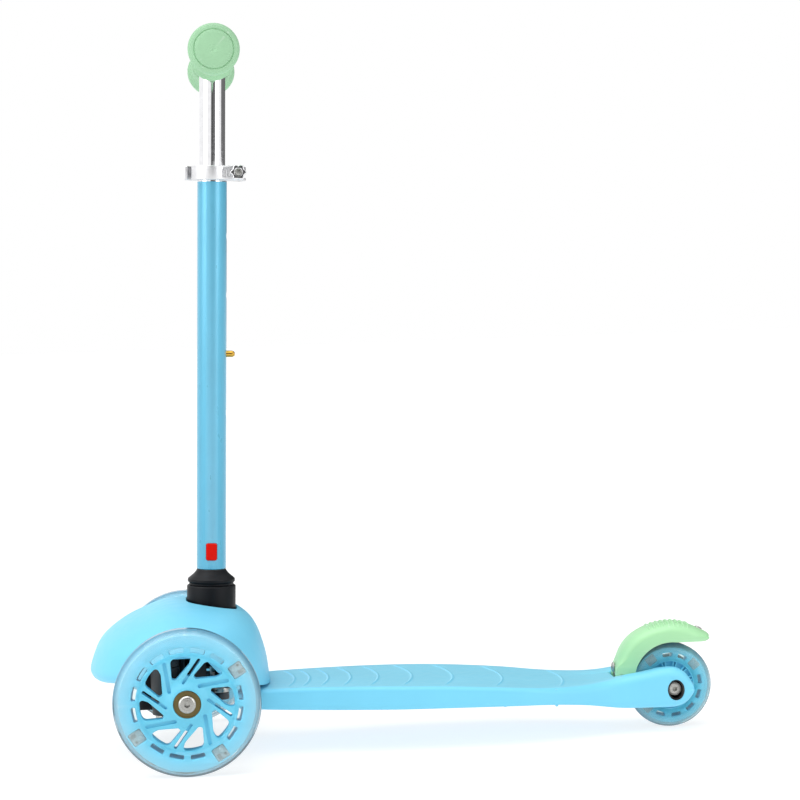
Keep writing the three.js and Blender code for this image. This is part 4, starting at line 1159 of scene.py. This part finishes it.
def axle_cups():
    """A black oval cup in each fork arm, with the axle bolt's head or nut inside."""
    axle = (REAR_AXLE.x, REAR_AXLE.z)
    for side, sign in (("left", 1), ("right", -1)):
        near, far = sorted((sign * 20, sign * 36.6))
        cup = plate(oval(7, 8.5, axle), near, far, (), 0.3, 2)
        near, far = sorted((sign * 22, sign * 40))
        cut(cup, plate(oval(6, 7.5, axle), near, far, (), 0.4, 2))
        near, far = sorted((sign * 10, sign * 30))
        cut(cup, move(rod(AXLE_RADIUS + 0.3, near, far, "y"), axle[0], 0, axle[1]))
        finish_piece(f"{side}_axle_recess", cup, "deck", [f"{side}_axle_cup"], black_nylon)
    seat = 22.3
    profile = [(0, -seat - 3), (AXLE_RADIUS, -seat - 3, 0.6), (AXLE_RADIUS, seat), (5.8, seat, 0.2)]
    profile += [(5.8, seat + 7, 0.8), (4.4, seat + 7.6, 0.8), (0, seat + 7.7)]
    # The head's near-white finish is a painted shine that keeps it bright in its dark cup.
    bolt = painted(lathe(rounded(profile, 4, False), "y", 64), zinc_painted_shine)
    # Painted shade: the hexagon socket is black, to darken the recess.
    cut(bolt, painted(plate(hexagon(4), seat + 3, seat + 9, (), 0.02, 1), black_nylon))
    spot = Matrix.Translation(REAR_AXLE)
    finish_piece("rear_axle_screw", bolt, "deck", ["rear_axle_bolt"], None, spot)
    nut = plate(hexagon(9.7), -seat - 5, -seat, [circle(AXLE_RADIUS + 0.3, 48)], 0.4)
    finish_piece("rear_axle_hex_nut", nut, "deck", ["rear_axle_nut"], steel, spot)


def deck_with_tread_and_top_light():
    """The deck with a finely grained top face, whose greyer blue is painted light for how light falls on the
    top.
    """
    shape = painted(deck(), blue_plastic)
    # Upward faces on the top get the tread plastic; its greyer blue is painted top light.
    return faces_where(
        shape, tread_plastic, lambda p: p.normal.z > 0.9 and p.center.z > 44 and -185 < p.center.x < 125
    )


finish_piece("deck_moulding", deck_with_tread_and_top_light(), "deck", ["deck_shell"], sharp=38)
axle_cups()

# ---------------------------------------------------------------- front housing

HOUSING_OUTLINE = (
    (114.9, 56.2), (117, 76), (120.3, 90), (124.8, 102.5), (130.9, 111.5), (140.8, 119.2), (155, 124),
    (172, 127), (190, 127.9), (205, 126.2), (220, 120.8), (235.5, 114), (250, 104.1), (258.5, 95.2),
    (263.5, 84.6), (266.7, 74.5), (265.8, 69.4), (262.4, 66), (257, 64.4), (245, 63.6), (232, 57.5),
)
HOUSING_CENTRE = (190, 85)
HOUSING_HALF_WIDTH = 98
HOUSING_ROUNDNESS = 2.3
HOUSING_WALL = 2.8
ARCH = (
    (126, 40, 0), (126, 61.5, 3), (146, 66, 8), (160, 78, 8), (171, 91, 8), (222, 91, 8), (232, 78, 6),
    (238, 40, 0),
)


def smooth_loop(points, steps=6):
    """A closed curve through points, with the last three joined by a straight underside."""
    made = []
    count = len(points)
    for i in range(count):
        before, start, end, after = (Vector(points[(i + k) % count]) for k in (-1, 0, 1, 2))
        straight = i in (count - 1, count - 2)
        for k in range(steps):
            t = k / steps
            if straight:
                made.append(tuple(start.lerp(end, t)))
                continue
            ahead, behind = (end - before) / 2, (after - start) / 2
            if i == 0:
                ahead = end - start
            if i == count - 3:
                behind = end - start
            parts = (
                (1 + 2 * t) * (1 - t) ** 2, t * (1 - t) ** 2, t * t * (3 - 2 * t), t * t * (t - 1)
            )
            made.append(tuple(start * parts[0] + ahead * parts[1] + end * parts[2] + behind * parts[3]))
    return made


def housing_bulk(inset, slices=64):
    """The middle outline, shrunk towards both sides as a superellipse."""
    centre = Vector(HOUSING_CENTRE)
    outline = [Vector(p) - centre for p in smooth_loop(HOUSING_OUTLINE)]
    loops = []
    for k in range(slices + 1):
        across = math.sin((k / slices - 0.5) * math.pi)
        shrink = max(0.02, 1 - abs(across) ** HOUSING_ROUNDNESS) ** (1 / HOUSING_ROUNDNESS)
        y = across * (HOUSING_HALF_WIDTH - inset)
        arms = (arm * ((arm.length - inset) / arm.length) * shrink for arm in outline)
        loops.append([(centre.x + arm.x, y, centre.y + arm.y) for arm in arms])
    return loft(loops)


def stem_opening(reach=9):
    """A hole for the collar, drawn out sideways by a reach so that the stem can lean."""
    radius = COLLAR_RADIUS + 0.8
    x = STEM_FOOT_X - 125 * math.tan(STEM_RAKE)
    outline = arc(radius, 0, 180, 40, (x, reach)) + arc(radius, 180, 360, 40, (x, -reach))
    return plate(outline, 104, 150, (), 0.01, 1, "xy")


def housing():
    shape = housing_bulk(0)
    cut(shape, housing_bulk(HOUSING_WALL, 40))
    cut(shape, plate(rounded(ARCH), -110, 110, (), 0.01, 1), stem_opening())
    return soften(mend(shape, 0.01), 0.6, 50, 2)


finish_piece(
    "housing_moulding", housing(), "deck", ["front_housing"], blue_plastic, sharp=40
)

# ---------------------------------------------------------------- brake

FENDER_HALF_WIDTH = 18
FENDER_BASE_HALF_WIDTH = 14.6
FENDER_CREST = ((-211, 87.2), (-228, 93.1), (-241, 92.4), (-256.6, 84.5))
FENDER_EDGE = 74.4
FENDER_CROWN = 8
SKIRT_CENTRE = (-231, 42.5)
SKIRT_RADIUS = 32.3
STRIP_RADII = (41, 42.4)
REAR_SCREW = Matrix.Translation((-258, 0, 84)) @ Matrix.Rotation(math.radians(-27), 4, "Y")


def crown_drop(y):
    """How far the fender's back falls below the crest at y."""
    share = min(1, abs(y) / FENDER_HALF_WIDTH)
    return FENDER_CROWN * (1 - (1 - share**3) ** (1 / 1.8))


def fender_slice(y):
    """The fender's side outline at y. The back is drawn in, the underside stays."""
    back = [(-182.7, 41), (-182.7, 45.5)]
    back += bezier((-182.7, 49), (-184.6, 67), (-192.5, 80), (-211, 87.2), 24)
    back += bezier(*FENDER_CREST, 24)
    back += bezier((-256.6, 84.5), (-262.2, 81.6), (-266, 80.2), (-266, 78.2), 8)
    back += [(-266, 78.2), (-265.7, 76.8)]
    drop = crown_drop(y)
    loop = []
    for i, (x, z) in enumerate(back):
        before, after = back[max(i - 1, 0)], back[min(i + 1, len(back) - 1)]
        along = Vector((after[0] - before[0], after[1] - before[1])).normalized()
        inset = drop * float(smoothstep(52, 66, z))
        if x < SKIRT_CENTRE[0]:
            inset = min(inset, 0.62 * (z - FENDER_EDGE))
        loop.append((x - along.y * inset, y, z + along.x * inset))
    tip = min(drop, 2.2)
    under = (
        (-264.7, 75.5, 1), (-262, 74.6, 0.8), (-258, FENDER_EDGE, 0.5), (SKIRT_CENTRE[0], FENDER_EDGE, 0),
    )
    loop += [(x + tip * share, y, z) for x, z, share in under]
    return [*loop, (SKIRT_CENTRE[0], y, 41)]


def crest_point(x):
    """The point of the fender's crest at x, and the direction out of the surface there."""
    line = bezier(*FENDER_CREST, 400)
    i = min(range(len(line) - 1), key=lambda k: abs(line[k][0] - x))
    here, ahead = Vector(line[i]), Vector(line[i + 1])
    along = (ahead - here).normalized()
    return here, Vector((along.y, -along.x))


def fender_rib(x, radius=1.0):
    """A rounded bar across the crest that sinks into the back before it reaches the sides."""
    here, out = crest_point(x)
    across = (0, 5, 8, 10.5, 12, 13.4, 14.5, 15.4)
    half = [(y, -crown_drop(y) + 0.1 - 1.7 * (y / across[-1]) ** 5) for y in across]
    path = [(-a, b) for a, b in half[:0:-1]] + half
    points = [(here.x + out.x * b, a, here.y + out.y * b) for a, b in path]
    return bar(points, radius, 10)


def narrow_base(shape):
    """Draws the fender's foot in, so that it fits between the fork's arms."""
    for vertex in shape.data.vertices:
        weight = float(smoothstep(86, 50, vertex.co.z))
        vertex.co.y *= 1 + weight * (FENDER_BASE_HALF_WIDTH / FENDER_HALF_WIDTH - 1)
    return shape


def fender():
    half = (0, 4, 8, 11, 13, 14.5, 15.6, 16.4, 17, 17.4, 17.7, 17.87, 17.96, FENDER_HALF_WIDTH)
    shape = loft([fender_slice(y) for y in (*[-y for y in half[:0:-1]], *half)])
    shape = rings_between(shape, 49, 88, 1.5)
    narrow_base(shape)
    unite(shape, *[fender_rib(-213 - 4.25 * k) for k in range(9)])
    axle = (REAR_AXLE.x, REAR_AXLE.z)
    room = plate(circle(STRIP_RADII[1] + 0.3, 144, axle), -13.2, 13.2, (), 1.2, 3)
    arch = plate(circle(SKIRT_RADIUS, 144, SKIRT_CENTRE), -24, 24, (), 0.01, 1)
    tail = plate(rounded([(-246, 60, 2), (-225, 60, 2), (-225, 82, 2), (-246, 82, 2)]), -13, 13, (), 0.5)
    cut(shape, room, arch, tail)
    cut(
        shape,
        move(rod(2.8, -22, 22, "y"), BRAKE_PIN[0], 0, BRAKE_PIN[1]),
        block((-195, -180), (-6.5, 6.5), (39, 51.2)),
        move(rod(2.3, -200, -175, "x"), 0, 0, 53),
        place(unite(rod(1.9, -8, 0), rod(3.5, -1.2, 6)), REAR_SCREW),
    )
    return shape


def rings_between(shape, low, high, step):
    """Cuts level edge rings into a shape, so that its sides can bend."""
    mesh = bmesh.new()
    mesh.from_mesh(shape.data)
    z = low
    while z <= high:
        geometry = [*mesh.verts, *mesh.edges, *mesh.faces]
        bmesh.ops.bisect_plane(mesh, geom=geometry, plane_co=(0, 0, z), plane_no=(0, 0, 1), dist=1e-4)
        z += step
    mesh.to_mesh(shape.data)
    mesh.free()
    return shape


def cross_recess(size, top, depth):
    """The cutter for a cross-head screw, pointing down from the head's top."""
    arms = []
    for heading in (0, 90):
        corners = ((-size, -0.55), (size, -0.55), (size, 0.55), (-size, 0.55))
        outline = rounded([(*corner, 0.2) for corner in corners], 2)
        arm = plate(outline, top - depth, top + 2, (), 0.05, 1, "xy")
        arms.append(turn(arm, heading, "Z"))
    return unite(*arms)


def brake():
    finish_piece("fender_moulding", fender(), "brake", ["brake_fender"], green_plastic)
    outside = arc(STRIP_RADII[1], 30, 112, 60)
    inside = arc(STRIP_RADII[0], 112, 30, 60)
    strip = plate(outside + inside, -11, 11, (), 0.25, 2)
    finish_piece(
        "rubbing_strip", strip, "brake", ["brake_strip"], steel, Matrix.Translation(REAR_AXLE)
    )
    dome = [(0, -8.8), (2, -8.8), (2, 0.8), (4.6, 0.8, 0.3), (4.6, 1.3, 0.4), (3.2, 2.5, 1.4), (0, 2.6)]
    screw = lathe(rounded(dome, 4, False), "z", 56)
    cut(screw, cross_recess(2.3, 2.6, 1.3))
    place(screw, AXES["x"])
    finish_piece(
        "front_fender_screw", move(screw, -183.6, 0, 53), "brake", ["brake_screw_front"], steel
    )
    dome = [(0, -7.5), (1.6, -7.5), (1.6, -0.7), (3.2, -0.7, 0.2), (3.1, 0.7, 0.7), (0, 1.3)]
    screw = lathe(rounded(dome, 4, False), "z", 48)
    cut(screw, cross_recess(1.7, 1.3, 0.9))
    finish_piece("rear_fender_screw", screw, "brake", ["brake_screw_rear"], steel, REAR_SCREW)
    pin = move(rod(2.5, -22.5, 22.5, "y", 0.4), BRAKE_PIN[0], 0, BRAKE_PIN[1])
    finish_piece("fender_hinge_pin", pin, "brake", ["brake_hinge_pin"], steel)
    carried("brake_spring", "brake", spring_steel, 0, 2)


brake()

# ---------------------------------------------------------------- steering head and lower tube


def flat_box(x, y, z, corner, bevel, plane="xz"):
    """A block with rounded corners in one plane and softened edges in the other."""
    spans = {"xz": (x, z, y), "xy": (x, y, z), "yz": (y, z, x)}[plane]
    (a0, a1), (b0, b1), (near, far) = spans
    outline = rounded([(a0, b0, corner), (a1, b0, corner), (a1, b1, corner), (a0, b1, corner)])
    return plate(outline, near, far, (), bevel, 3, plane)


def button_pocket(growth=0.3):
    low, high = BUTTON_CENTRE - 7.2 - growth, BUTTON_CENTRE + 7.2 + growth
    return flat_box((-4.6 - growth, 4.6 + growth), (1, 16), (low, high), 1.6 + growth, 0.01)


def steering_head():
    """The collar that shows above the housing, with the post for the tube and the lever below."""
    profile = [
        (0, 88), (18, 88, 1), (18, 113, 0.5), (COLLAR_RADIUS, 114, 0.5), (COLLAR_RADIUS, COLLAR_TOP, 1.3),
        (17.6, COLLAR_TOP, 0.3), (17.6, COLLAR_TOP - 0.9, 0.3), (11, COLLAR_TOP - 0.9), (11, 212, 0.3),
        (8.8, 214, 0.3), (0, 214),
    ]
    body = lathe(rounded(profile, 4, False), "z", 96)
    unite(body, flat_box((-14.9, 16.1), (-9, 9), (70, 90), 1.5, 0.6))
    bore = rod(5.3, -40, 40, "x")
    place(bore, Matrix.Translation((0, 0, 100 / math.cos(STEM_RAKE))) @ Matrix.Rotation(STEM_RAKE, 4, "Y"))
    pin_x = TIE_BAR_X - (STEM_FOOT_X - 64.5 * math.tan(STEM_RAKE))
    cut(body, bore, button_pocket(), move(rod(3.3, 60, 84), pin_x))
    return body


def bell():
    """The flared ring that closes the foot of the tube."""
    rise = curve_through((0, 0.25, 0.5, 0.75, 1), (20, 17.7, 15.2, 13.5, 12.2))
    profile = [(11.3, 139.8), (18.8, 139.8, 0.4), (18.8, 141.4, 0.4), (20.1, 142.6, 0.9), (20.1, 144.4, 0.9)]
    profile += [(float(rise(t)), 144.9 + 8.1 * t, 0) for t in np.linspace(0, 1, 14)]
    profile.append((11.3, 153.0, 0))
    return lathe(rounded(profile, 4), "z", 96)


def lower_tube():
    """Painted tube with a window for the button, the height holes, and a bright unpainted top."""
    profile = [(TUBE_INNER, 153.4), (TUBE_RADIUS, 153.4, 1.2), (TUBE_RADIUS, 482.2)]
    profile += [(TUBE_RADIUS - 0.08, 482.25), (TUBE_RADIUS - 0.08, 494, 0.3), (TUBE_INNER, 494, 0.2)]
    wall = painted(lathe(rounded(profile, 4), "z", 96), blue_paint)
    faces_where(wall, chrome, lambda p: p.center.z > 482.23)
    openings = [button_pocket(), block((-20, 0), (-1.2, 1.2), (468, 495))]
    for step in range(-1, 3):
        openings.append(move(rod(3.1, -20, 0, "x", 0, 40), 0, 0, PIN_HEIGHT + step * HOLE_PITCH))
    return cut(wall, *[painted(tool, dark_steel) for tool in openings])


def release_button():
    body = flat_box((-4.6, 4.6), (6, 13.4), (BUTTON_CENTRE - 7.2, BUTTON_CENTRE + 7.2), 1.5, 0.7)
    return body


def coil(radius, length, turns, wire, sides=10, steps=26):
    """A coil spring along +Y from y = 0."""
    points = []
    for i in range(int(turns * steps) + 1):
        t = i / (turns * steps)
        a, b = polar(radius, 360 * turns * t)
        points.append((a, length * t, b))
    return bar(points, wire, sides)


def stem_foot():
    head = steering_head()
    finish_piece("head_collar", head, "steering_head", ["steering_head"], black_nylon, STEM)
    finish_piece("foot_bell", bell(), "steering_head", ["socket_bell"], black_nylon, STEM)
    finish_piece("stem_lower_tube", lower_tube(), "steering_head", ["lower_tube"], None, STEM)
    finish_piece(
        "red_button", release_button(), "release_button", ["release_button"], red_plastic, STEM
    )
    spring = move(coil(3, 3.2, 2, 0.5), 0, 1.9, BUTTON_CENTRE)
    finish_piece(
        "button_coil", spring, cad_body("button_spring"), ["button_spring"], spring_steel, STEM
    )


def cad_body(node):
    """The body that a CAD node rides on."""
    return frame["nodes"][node].parent.name.removeprefix("body:")


stem_foot()

# ---------------------------------------------------------------- height clamp


def clamp_collar():
    """A split ring with two ears. The left ear is a flat flange with a ribbed pocket."""
    inner, outer = 12.9, 17.6
    meet = math.degrees(math.atan2(15.2, -math.sqrt(outer**2 - 15.2**2)))
    ear = math.degrees(math.atan2(-7.5, -math.sqrt(outer**2 - 7.5**2)))
    slit = math.degrees(math.asin(1.5 / inner))
    outline = [(-26, 1.5, 0.3), (-26, 15.2, 1.2)]
    outline += [(*p, 0) for p in arc(outer, meet, ear, 80)]
    outline += [(-26, -7.5, 1.2), (-26, -1.5, 0.3)]
    outline += [(*p, 0) for p in arc(inner, 180 + slit - 360, 180 - slit, 90)]
    low, high = CLAMP_CENTRE - 6, CLAMP_CENTRE + 6
    body = painted(plate(rounded(outline, 4), low, high, (), 0.55, 3, "xy"), polished)
    # Painted shade: the pocket's faces take dark steel, to darken the recess.
    pocket = flat_box((-18.6, -8.4), (14, 20), (CLAMP_CENTRE - 3.4, CLAMP_CENTRE + 3.4), 0.8, 0.05)
    painted(pocket, dark_steel)
    bolt_bore = move(rod(3, -30, 30, "y"), CLAMP_BOLT_X, 0, CLAMP_CENTRE)
    cut(body, pocket, painted(bolt_bore, polished))
    ribs = []
    for k in range(4):
        x = -17.2 + 2.3 * k
        ribs.append(flat_box((x, x + 0.9), (13.6, 14.9), (CLAMP_CENTRE - 3.2, CLAMP_CENTRE + 3.2), 0.3, 0.2))
    for rib in ribs:
        painted(rib, polished)
    return unite(body, *ribs)


BARREL_Y = -15.5
BARREL_RADIUS = 2.9


def clamp_bolt():
    """The draw bolt, with the barrel that the lever turns on at its right end."""
    shank = rod(2.7, BARREL_Y, 22.4, "y", 0.4)
    barrel = move(rod(BARREL_RADIUS, -5.5, 5.5, "z", 0.4), 0, BARREL_Y, 0)
    return move(unite(shank, barrel), CLAMP_BOLT_X, 0, CLAMP_CENTRE)


def clamp_nut():
    """A thumb nut with six scallops."""
    outline = []
    for k in range(144):
        angle = math.radians(k * 2.5)
        radius = 6.25 + 0.75 * math.cos(6 * angle)
        outline.append((radius * math.cos(angle), radius * math.sin(angle)))
    body = plate(outline, 15.5, 21.5, [circle(3, 48)], 0.7, 4)
    return move(body, CLAMP_BOLT_X, 0, CLAMP_CENTRE)


def clamp_lever():
    """The cam on the barrel, with a blade that wraps round the right side to the front."""
    cam = move(rod(7, -6, 6, "z", 0.6, 64), CLAMP_BOLT_X, BARREL_Y, 0)
    outside = arc(23.6, -140, -6, 60)
    inside = arc(20.9, -6, -140, 60)
    ends = {0, 60}
    outline = [(*p, 1.2 if i in ends else 0) for i, p in enumerate(outside)]
    outline += [(*p, 1.2 if i in ends else 0) for i, p in enumerate(inside)]
    blade = plate(rounded(outline, 4), -6, 6, (), 0.7, 3, "xy")
    body = unite(cam, blade)
    bore = move(rod(BARREL_RADIUS + 1.7, -10, 10), CLAMP_BOLT_X, BARREL_Y, 0)
    pie = plate([(0, 0), *arc(12, 40, 262, 34)], -3.4, 3.4, (), 0.01, 1, "xy")
    room = block((CLAMP_BOLT_X - 8, CLAMP_BOLT_X + 12), (-7.8, 0), (-10, 10))
    cut(body, bore, move(pie, CLAMP_BOLT_X, BARREL_Y, 0), room)
    return move(body, 0, 0, CLAMP_CENTRE)


def clamp():
    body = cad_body("clamp_collar")
    finish_piece(
        "clamp_ring", clamp_collar(), body, ["clamp_collar"], None, STEM
    )
    finish_piece("clamp_draw_bolt", clamp_bolt(), body, ["clamp_bolt"], steel, STEM)
    finish_piece("clamp_thumb_nut", clamp_nut(), body, ["clamp_nut"], chrome, STEM)
    finish_piece(
        "clamp_cam_lever", clamp_lever(), "clamp_lever", ["clamp_lever"], polished, STEM
    )


clamp()

# ---------------------------------------------------------------- handlebar


def handlebar():
    """Upright and crossbar welded into a T, with a fillet of weld where they meet."""
    body = rod(UPPER_RADIUS, 300, BAR_CENTRE, "z", 0.4, 96)
    unite(body, move(rod(UPPER_RADIUS, -BAR_HALF_LENGTH, BAR_HALF_LENGTH, "y", 0.4, 96), 0, 0, BAR_CENTRE))
    seam = []
    for k in range(96):
        angle = math.radians(k * 3.75)
        fall = abs(math.cos(angle))
        seam.append((11 * math.sin(angle), 11 * math.cos(angle), BAR_CENTRE - 11 * fall))
    unite(body, bar(seam, 0.9, 10, True))
    cut(
        body,
        rod(9.5, 299, BAR_CENTRE, "z", 0, 64),
        move(rod(9.5, -BAR_HALF_LENGTH - 1, BAR_HALF_LENGTH + 1, "y", 0, 64), 0, 0, BAR_CENTRE),
        move(rod(3.1, -20, 0, "x"), 0, 0, PIN_HEIGHT),
    )
    return body


def grip():
    """Rubber grip along +Y: an inner collar, a waisted ribbed barrel, a flange and a capped end."""
    barrel = [(27.0, 14.8), (29, 14.7)]
    y = 29.0
    while y < 101:
        swell = 0.55 * math.sin(math.pi * (y - 27) / 76)
        valley, crest = 14.5 + swell, 14.95 + swell
        barrel += [(y + 0.8, valley), (y + 1.6, crest), (y + 2.9, crest), (y + 3.6, valley)]
        y += 3.6
    profile = [(0, 113.3), (11.3, 113.3), (11.3, 21), (17.5, 21, 0.8), (18.5, 22.7, 1), (18.5, 24.6, 1)]
    profile += [(r, y, 0) for y, r in barrel]
    profile += [
        (14.8, 103, 2), (17, 108, 4), (20.6, 111.4, 2), (21, 114.8, 2.4), (19.3, 117.4, 1.8),
        (16.4, 118.0, 0.5), (16.1, 117.3, 0.2), (15.6, 117.3, 0.2), (15.3, 118.5, 0.5),
        (13, 119.0, 1.5), (3, 119.2, 0.6), (1.6, 118.6, 0.6), (0, 118.4),
    ]
    return lathe(rounded(profile, 4, False), "y", 96)


def bar_and_grips():
    finish_piece("chrome_t_bar", handlebar(), "handlebar", ["handlebar_tube"], chrome, STEM, 38)
    for side, turned_by in (("left", 0), ("right", 180)):
        shape = turn(grip(), turned_by, "Z")
        move(shape, 0, 0, BAR_CENTRE)
        finish_piece(
            f"{side}_rubber_grip", shape, "handlebar", [f"{side}_grip"], mint_rubber, STEM
        )
    profile = [(0, -19.6), (1.7, -19.5, 0.8), (2.8, -17.6, 0.6), (2.8, -8.2, 0.3), (0, -8.2)]
    pin = move(lathe(rounded(profile, 4, False), "x", 40), 0, 0, PIN_HEIGHT)
    finish_piece("brass_snap_pin", pin, "height_pin", ["height_pin"], brass, STEM)
    carried("pin_spring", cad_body("pin_spring"), spring_steel, 0.15)


bar_and_grips()

# ---------------------------------------------------------------- steering gear inside the housing


def steering_gear():
    for node in ("front_truck", "left_knuckle", "right_knuckle"):
        carried(node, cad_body(node), black_nylon, 0.7)
    for node in ("tie_bar", "lean_bolt", "steering_pin"):
        carried(node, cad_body(node), steel, 0.4)
    for side in ("left", "right"):
        for node in (f"{side}_kingpin", f"{side}_tie_screw", f"{side}_deck_screw"):
            carried(node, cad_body(node), steel, 0.4)
        spring = f"{side}_centring_spring"
        carried(spring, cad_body(spring), spring_steel, 0, 2)


steering_gear()

# ---------------------------------------------------------------- floor, light and camera


def floor():
    mesh = bpy.data.meshes.new("studio_floor")
    size = 12.0
    corners = [(-size, -size, 0), (size, -size, 0), (size, size, 0), (-size, size, 0)]
    mesh.from_pydata(corners, [], [(0, 1, 2, 3)])
    plane = bpy.data.objects.new("studio_floor", mesh)
    plane.location.z = -0.0002
    scene.collection.objects.link(plane)
    finish = Finish("pale_floor", (0.36, 0.36, 0.36, 1), 0.8).mottle(0.005, 300)
    finish.bump(4, 0.02, 0.1).set(Specular_IOR_Level=0.1, Emission_Color=(1, 1, 1, 1), Emission_Strength=0.76)
    mesh.materials.append(finish.material)
    return plane


# What the studio looks like in a reflection: (degrees round from the camera's side, brightness).
STUDIO_RING = (
    (-180, 1.1), (-93, 1.15), (-90, 1.1), (-88, 0.55), (-86, 1.1), (-82, 1.15), (-58, 1.1),
    (-56, 2.6), (-48, 2.6), (-46, 1.1), (-14, 1.1), (-10, 0.14), (8, 0.1), (28, 0.3), (34, 1.1), (46, 1.1),
    (48, 2.6), (56, 2.6), (58, 1.1), (83, 1.1), (88, 0.2), (179, 0.14), (180, 0.6),
)


class WorldNodes:
    def __init__(self, tree):
        self.tree = tree

    def add(self, kind, *sources, operation=None):
        """A node whose first inputs are numbers or other nodes' outputs."""
        made = self.tree.nodes.new(kind)
        if operation:
            made.operation = operation
        for socket, source in zip(made.inputs, sources):
            if isinstance(source, bpy.types.NodeSocket):
                self.tree.links.new(source, socket)
            elif source is not None:
                socket.default_value = source
        return made


def reflected_studio(nodes):
    """Light panels and dark gaps round the object, as a brightness for a direction."""
    direction = nodes.add("ShaderNodeTexCoord").outputs["Generated"]
    split = nodes.add("ShaderNodeSeparateXYZ", direction)
    across = nodes.add("ShaderNodeMath", split.outputs["X"], -1.0, operation="MULTIPLY").outputs[0]
    around = nodes.add("ShaderNodeMath", across, split.outputs["Y"], operation="ARCTAN2").outputs[0]
    share = nodes.add("ShaderNodeMath", around, 1 / (2 * math.pi), 0.5, operation="MULTIPLY_ADD").outputs[0]
    ring = nodes.add("ShaderNodeFloatCurve", 1.0, share)
    curve = ring.mapping.curves[0]
    points = [((degrees + 180) / 360, brightness / 3) for degrees, brightness in STUDIO_RING]
    curve.points[0].location = points[0]
    curve.points[-1].location = points[-1]
    for place_at in points[1:-1]:
        curve.points.new(*place_at)
    for point in curve.points:
        point.handle_type = "VECTOR"
    ring.mapping.update()
    level = nodes.add("ShaderNodeMath", ring.outputs[0], 3.0, operation="MULTIPLY").outputs[0]
    height = nodes.add("ShaderNodeMapRange")
    for key, value in (("From Min", 0.55), ("From Max", 0.8), ("To Min", 0.0), ("To Max", 1.0)):
        height.inputs[key].default_value = value
    nodes.tree.links.new(split.outputs["Z"], height.inputs["Value"])
    overhead = nodes.add("ShaderNodeMix", height.outputs[0])
    nodes.tree.links.new(level, overhead.inputs[2])
    overhead.inputs[3].default_value = 1.1
    return overhead.outputs[0]


def world():
    """White to the camera, light panels in reflections, and a soft grey light for the rest."""
    made = bpy.data.worlds.new("studio")
    scene.world = made
    made.use_nodes = True
    tree = made.node_tree
    tree.nodes.clear()
    nodes = WorldNodes(tree)
    path = nodes.add("ShaderNodeLightPath")
    soft = nodes.add("ShaderNodeBackground", (1, 1, 1, 1), 0.39)
    mirrored = nodes.add("ShaderNodeBackground", (1, 1, 1, 1), reflected_studio(nodes))
    seen = nodes.add("ShaderNodeBackground", (1, 1, 1, 1), 1.0)
    is_glossy = path.outputs["Is Glossy Ray"]
    glossy = nodes.add("ShaderNodeMixShader", is_glossy, soft.outputs[0], mirrored.outputs[0])
    mix = nodes.add("ShaderNodeMixShader", path.outputs["Is Camera Ray"], glossy.outputs[0], seen.outputs[0])
    output = tree.nodes.new("ShaderNodeOutputWorld")
    tree.links.new(mix.outputs[0], output.inputs["Surface"])


def soft_light(name, spot, target, size, power, colour=(1, 1, 1)):
    data = bpy.data.lights.new(name, "AREA")
    data.shape = "RECTANGLE"
    data.size, data.size_y = size
    data.energy = power
    data.color = colour
    lamp = bpy.data.objects.new(name, data)
    lamp.location = spot
    lamp.rotation_euler = (Vector(target) - Vector(spot)).to_track_quat("-Z", "Y").to_euler()
    scene.collection.objects.link(lamp)
    return lamp


def camera():
    """Seen from the left side, a little ahead of and above the middle."""
    position = Vector((0.17387, 2.17465, 0.40218))
    pitch, yaw, roll = 0.0510133, 0.0817287, 0.0358763
    base = Matrix(((-1, 0, 0), (0, 0, 1), (0, 1, 0)))
    turns = Matrix.Rotation(roll, 3, "Z") @ Matrix.Rotation(yaw, 3, "Y")
    to_camera = turns @ Matrix.Rotation(pitch, 3, "X") @ base
    data = bpy.data.cameras.new("camera")
    data.lens = 114.8
    data.sensor_width = 36
    data.clip_end = 50
    made = bpy.data.objects.new("camera", data)
    made.matrix_world = Matrix.Translation(position) @ to_camera.transposed().to_4x4()
    scene.collection.objects.link(made)
    scene.camera = made


def sun(strength, spread, direction):
    """A broad, soft light with no edges, so the floor is lit evenly."""
    data = bpy.data.lights.new("sun", "SUN")
    data.energy = strength
    data.angle = math.radians(spread)
    lamp = bpy.data.objects.new("sun", data)
    lamp.rotation_euler = Vector(direction).to_track_quat("-Z", "Y").to_euler()
    scene.collection.objects.link(lamp)


floor()
world()
sun(1.95, 60, (-0.25, -0.2, -1))
soft_light("front", (2.2, 1.0, 0.9), (0.2, 0, 0.1), (1.4, 1.4), 12)
soft_light("fill", (-1.4, 1.6, 0.9), (0, 0, 0.25), (1.2, 1.2), 9)
camera()
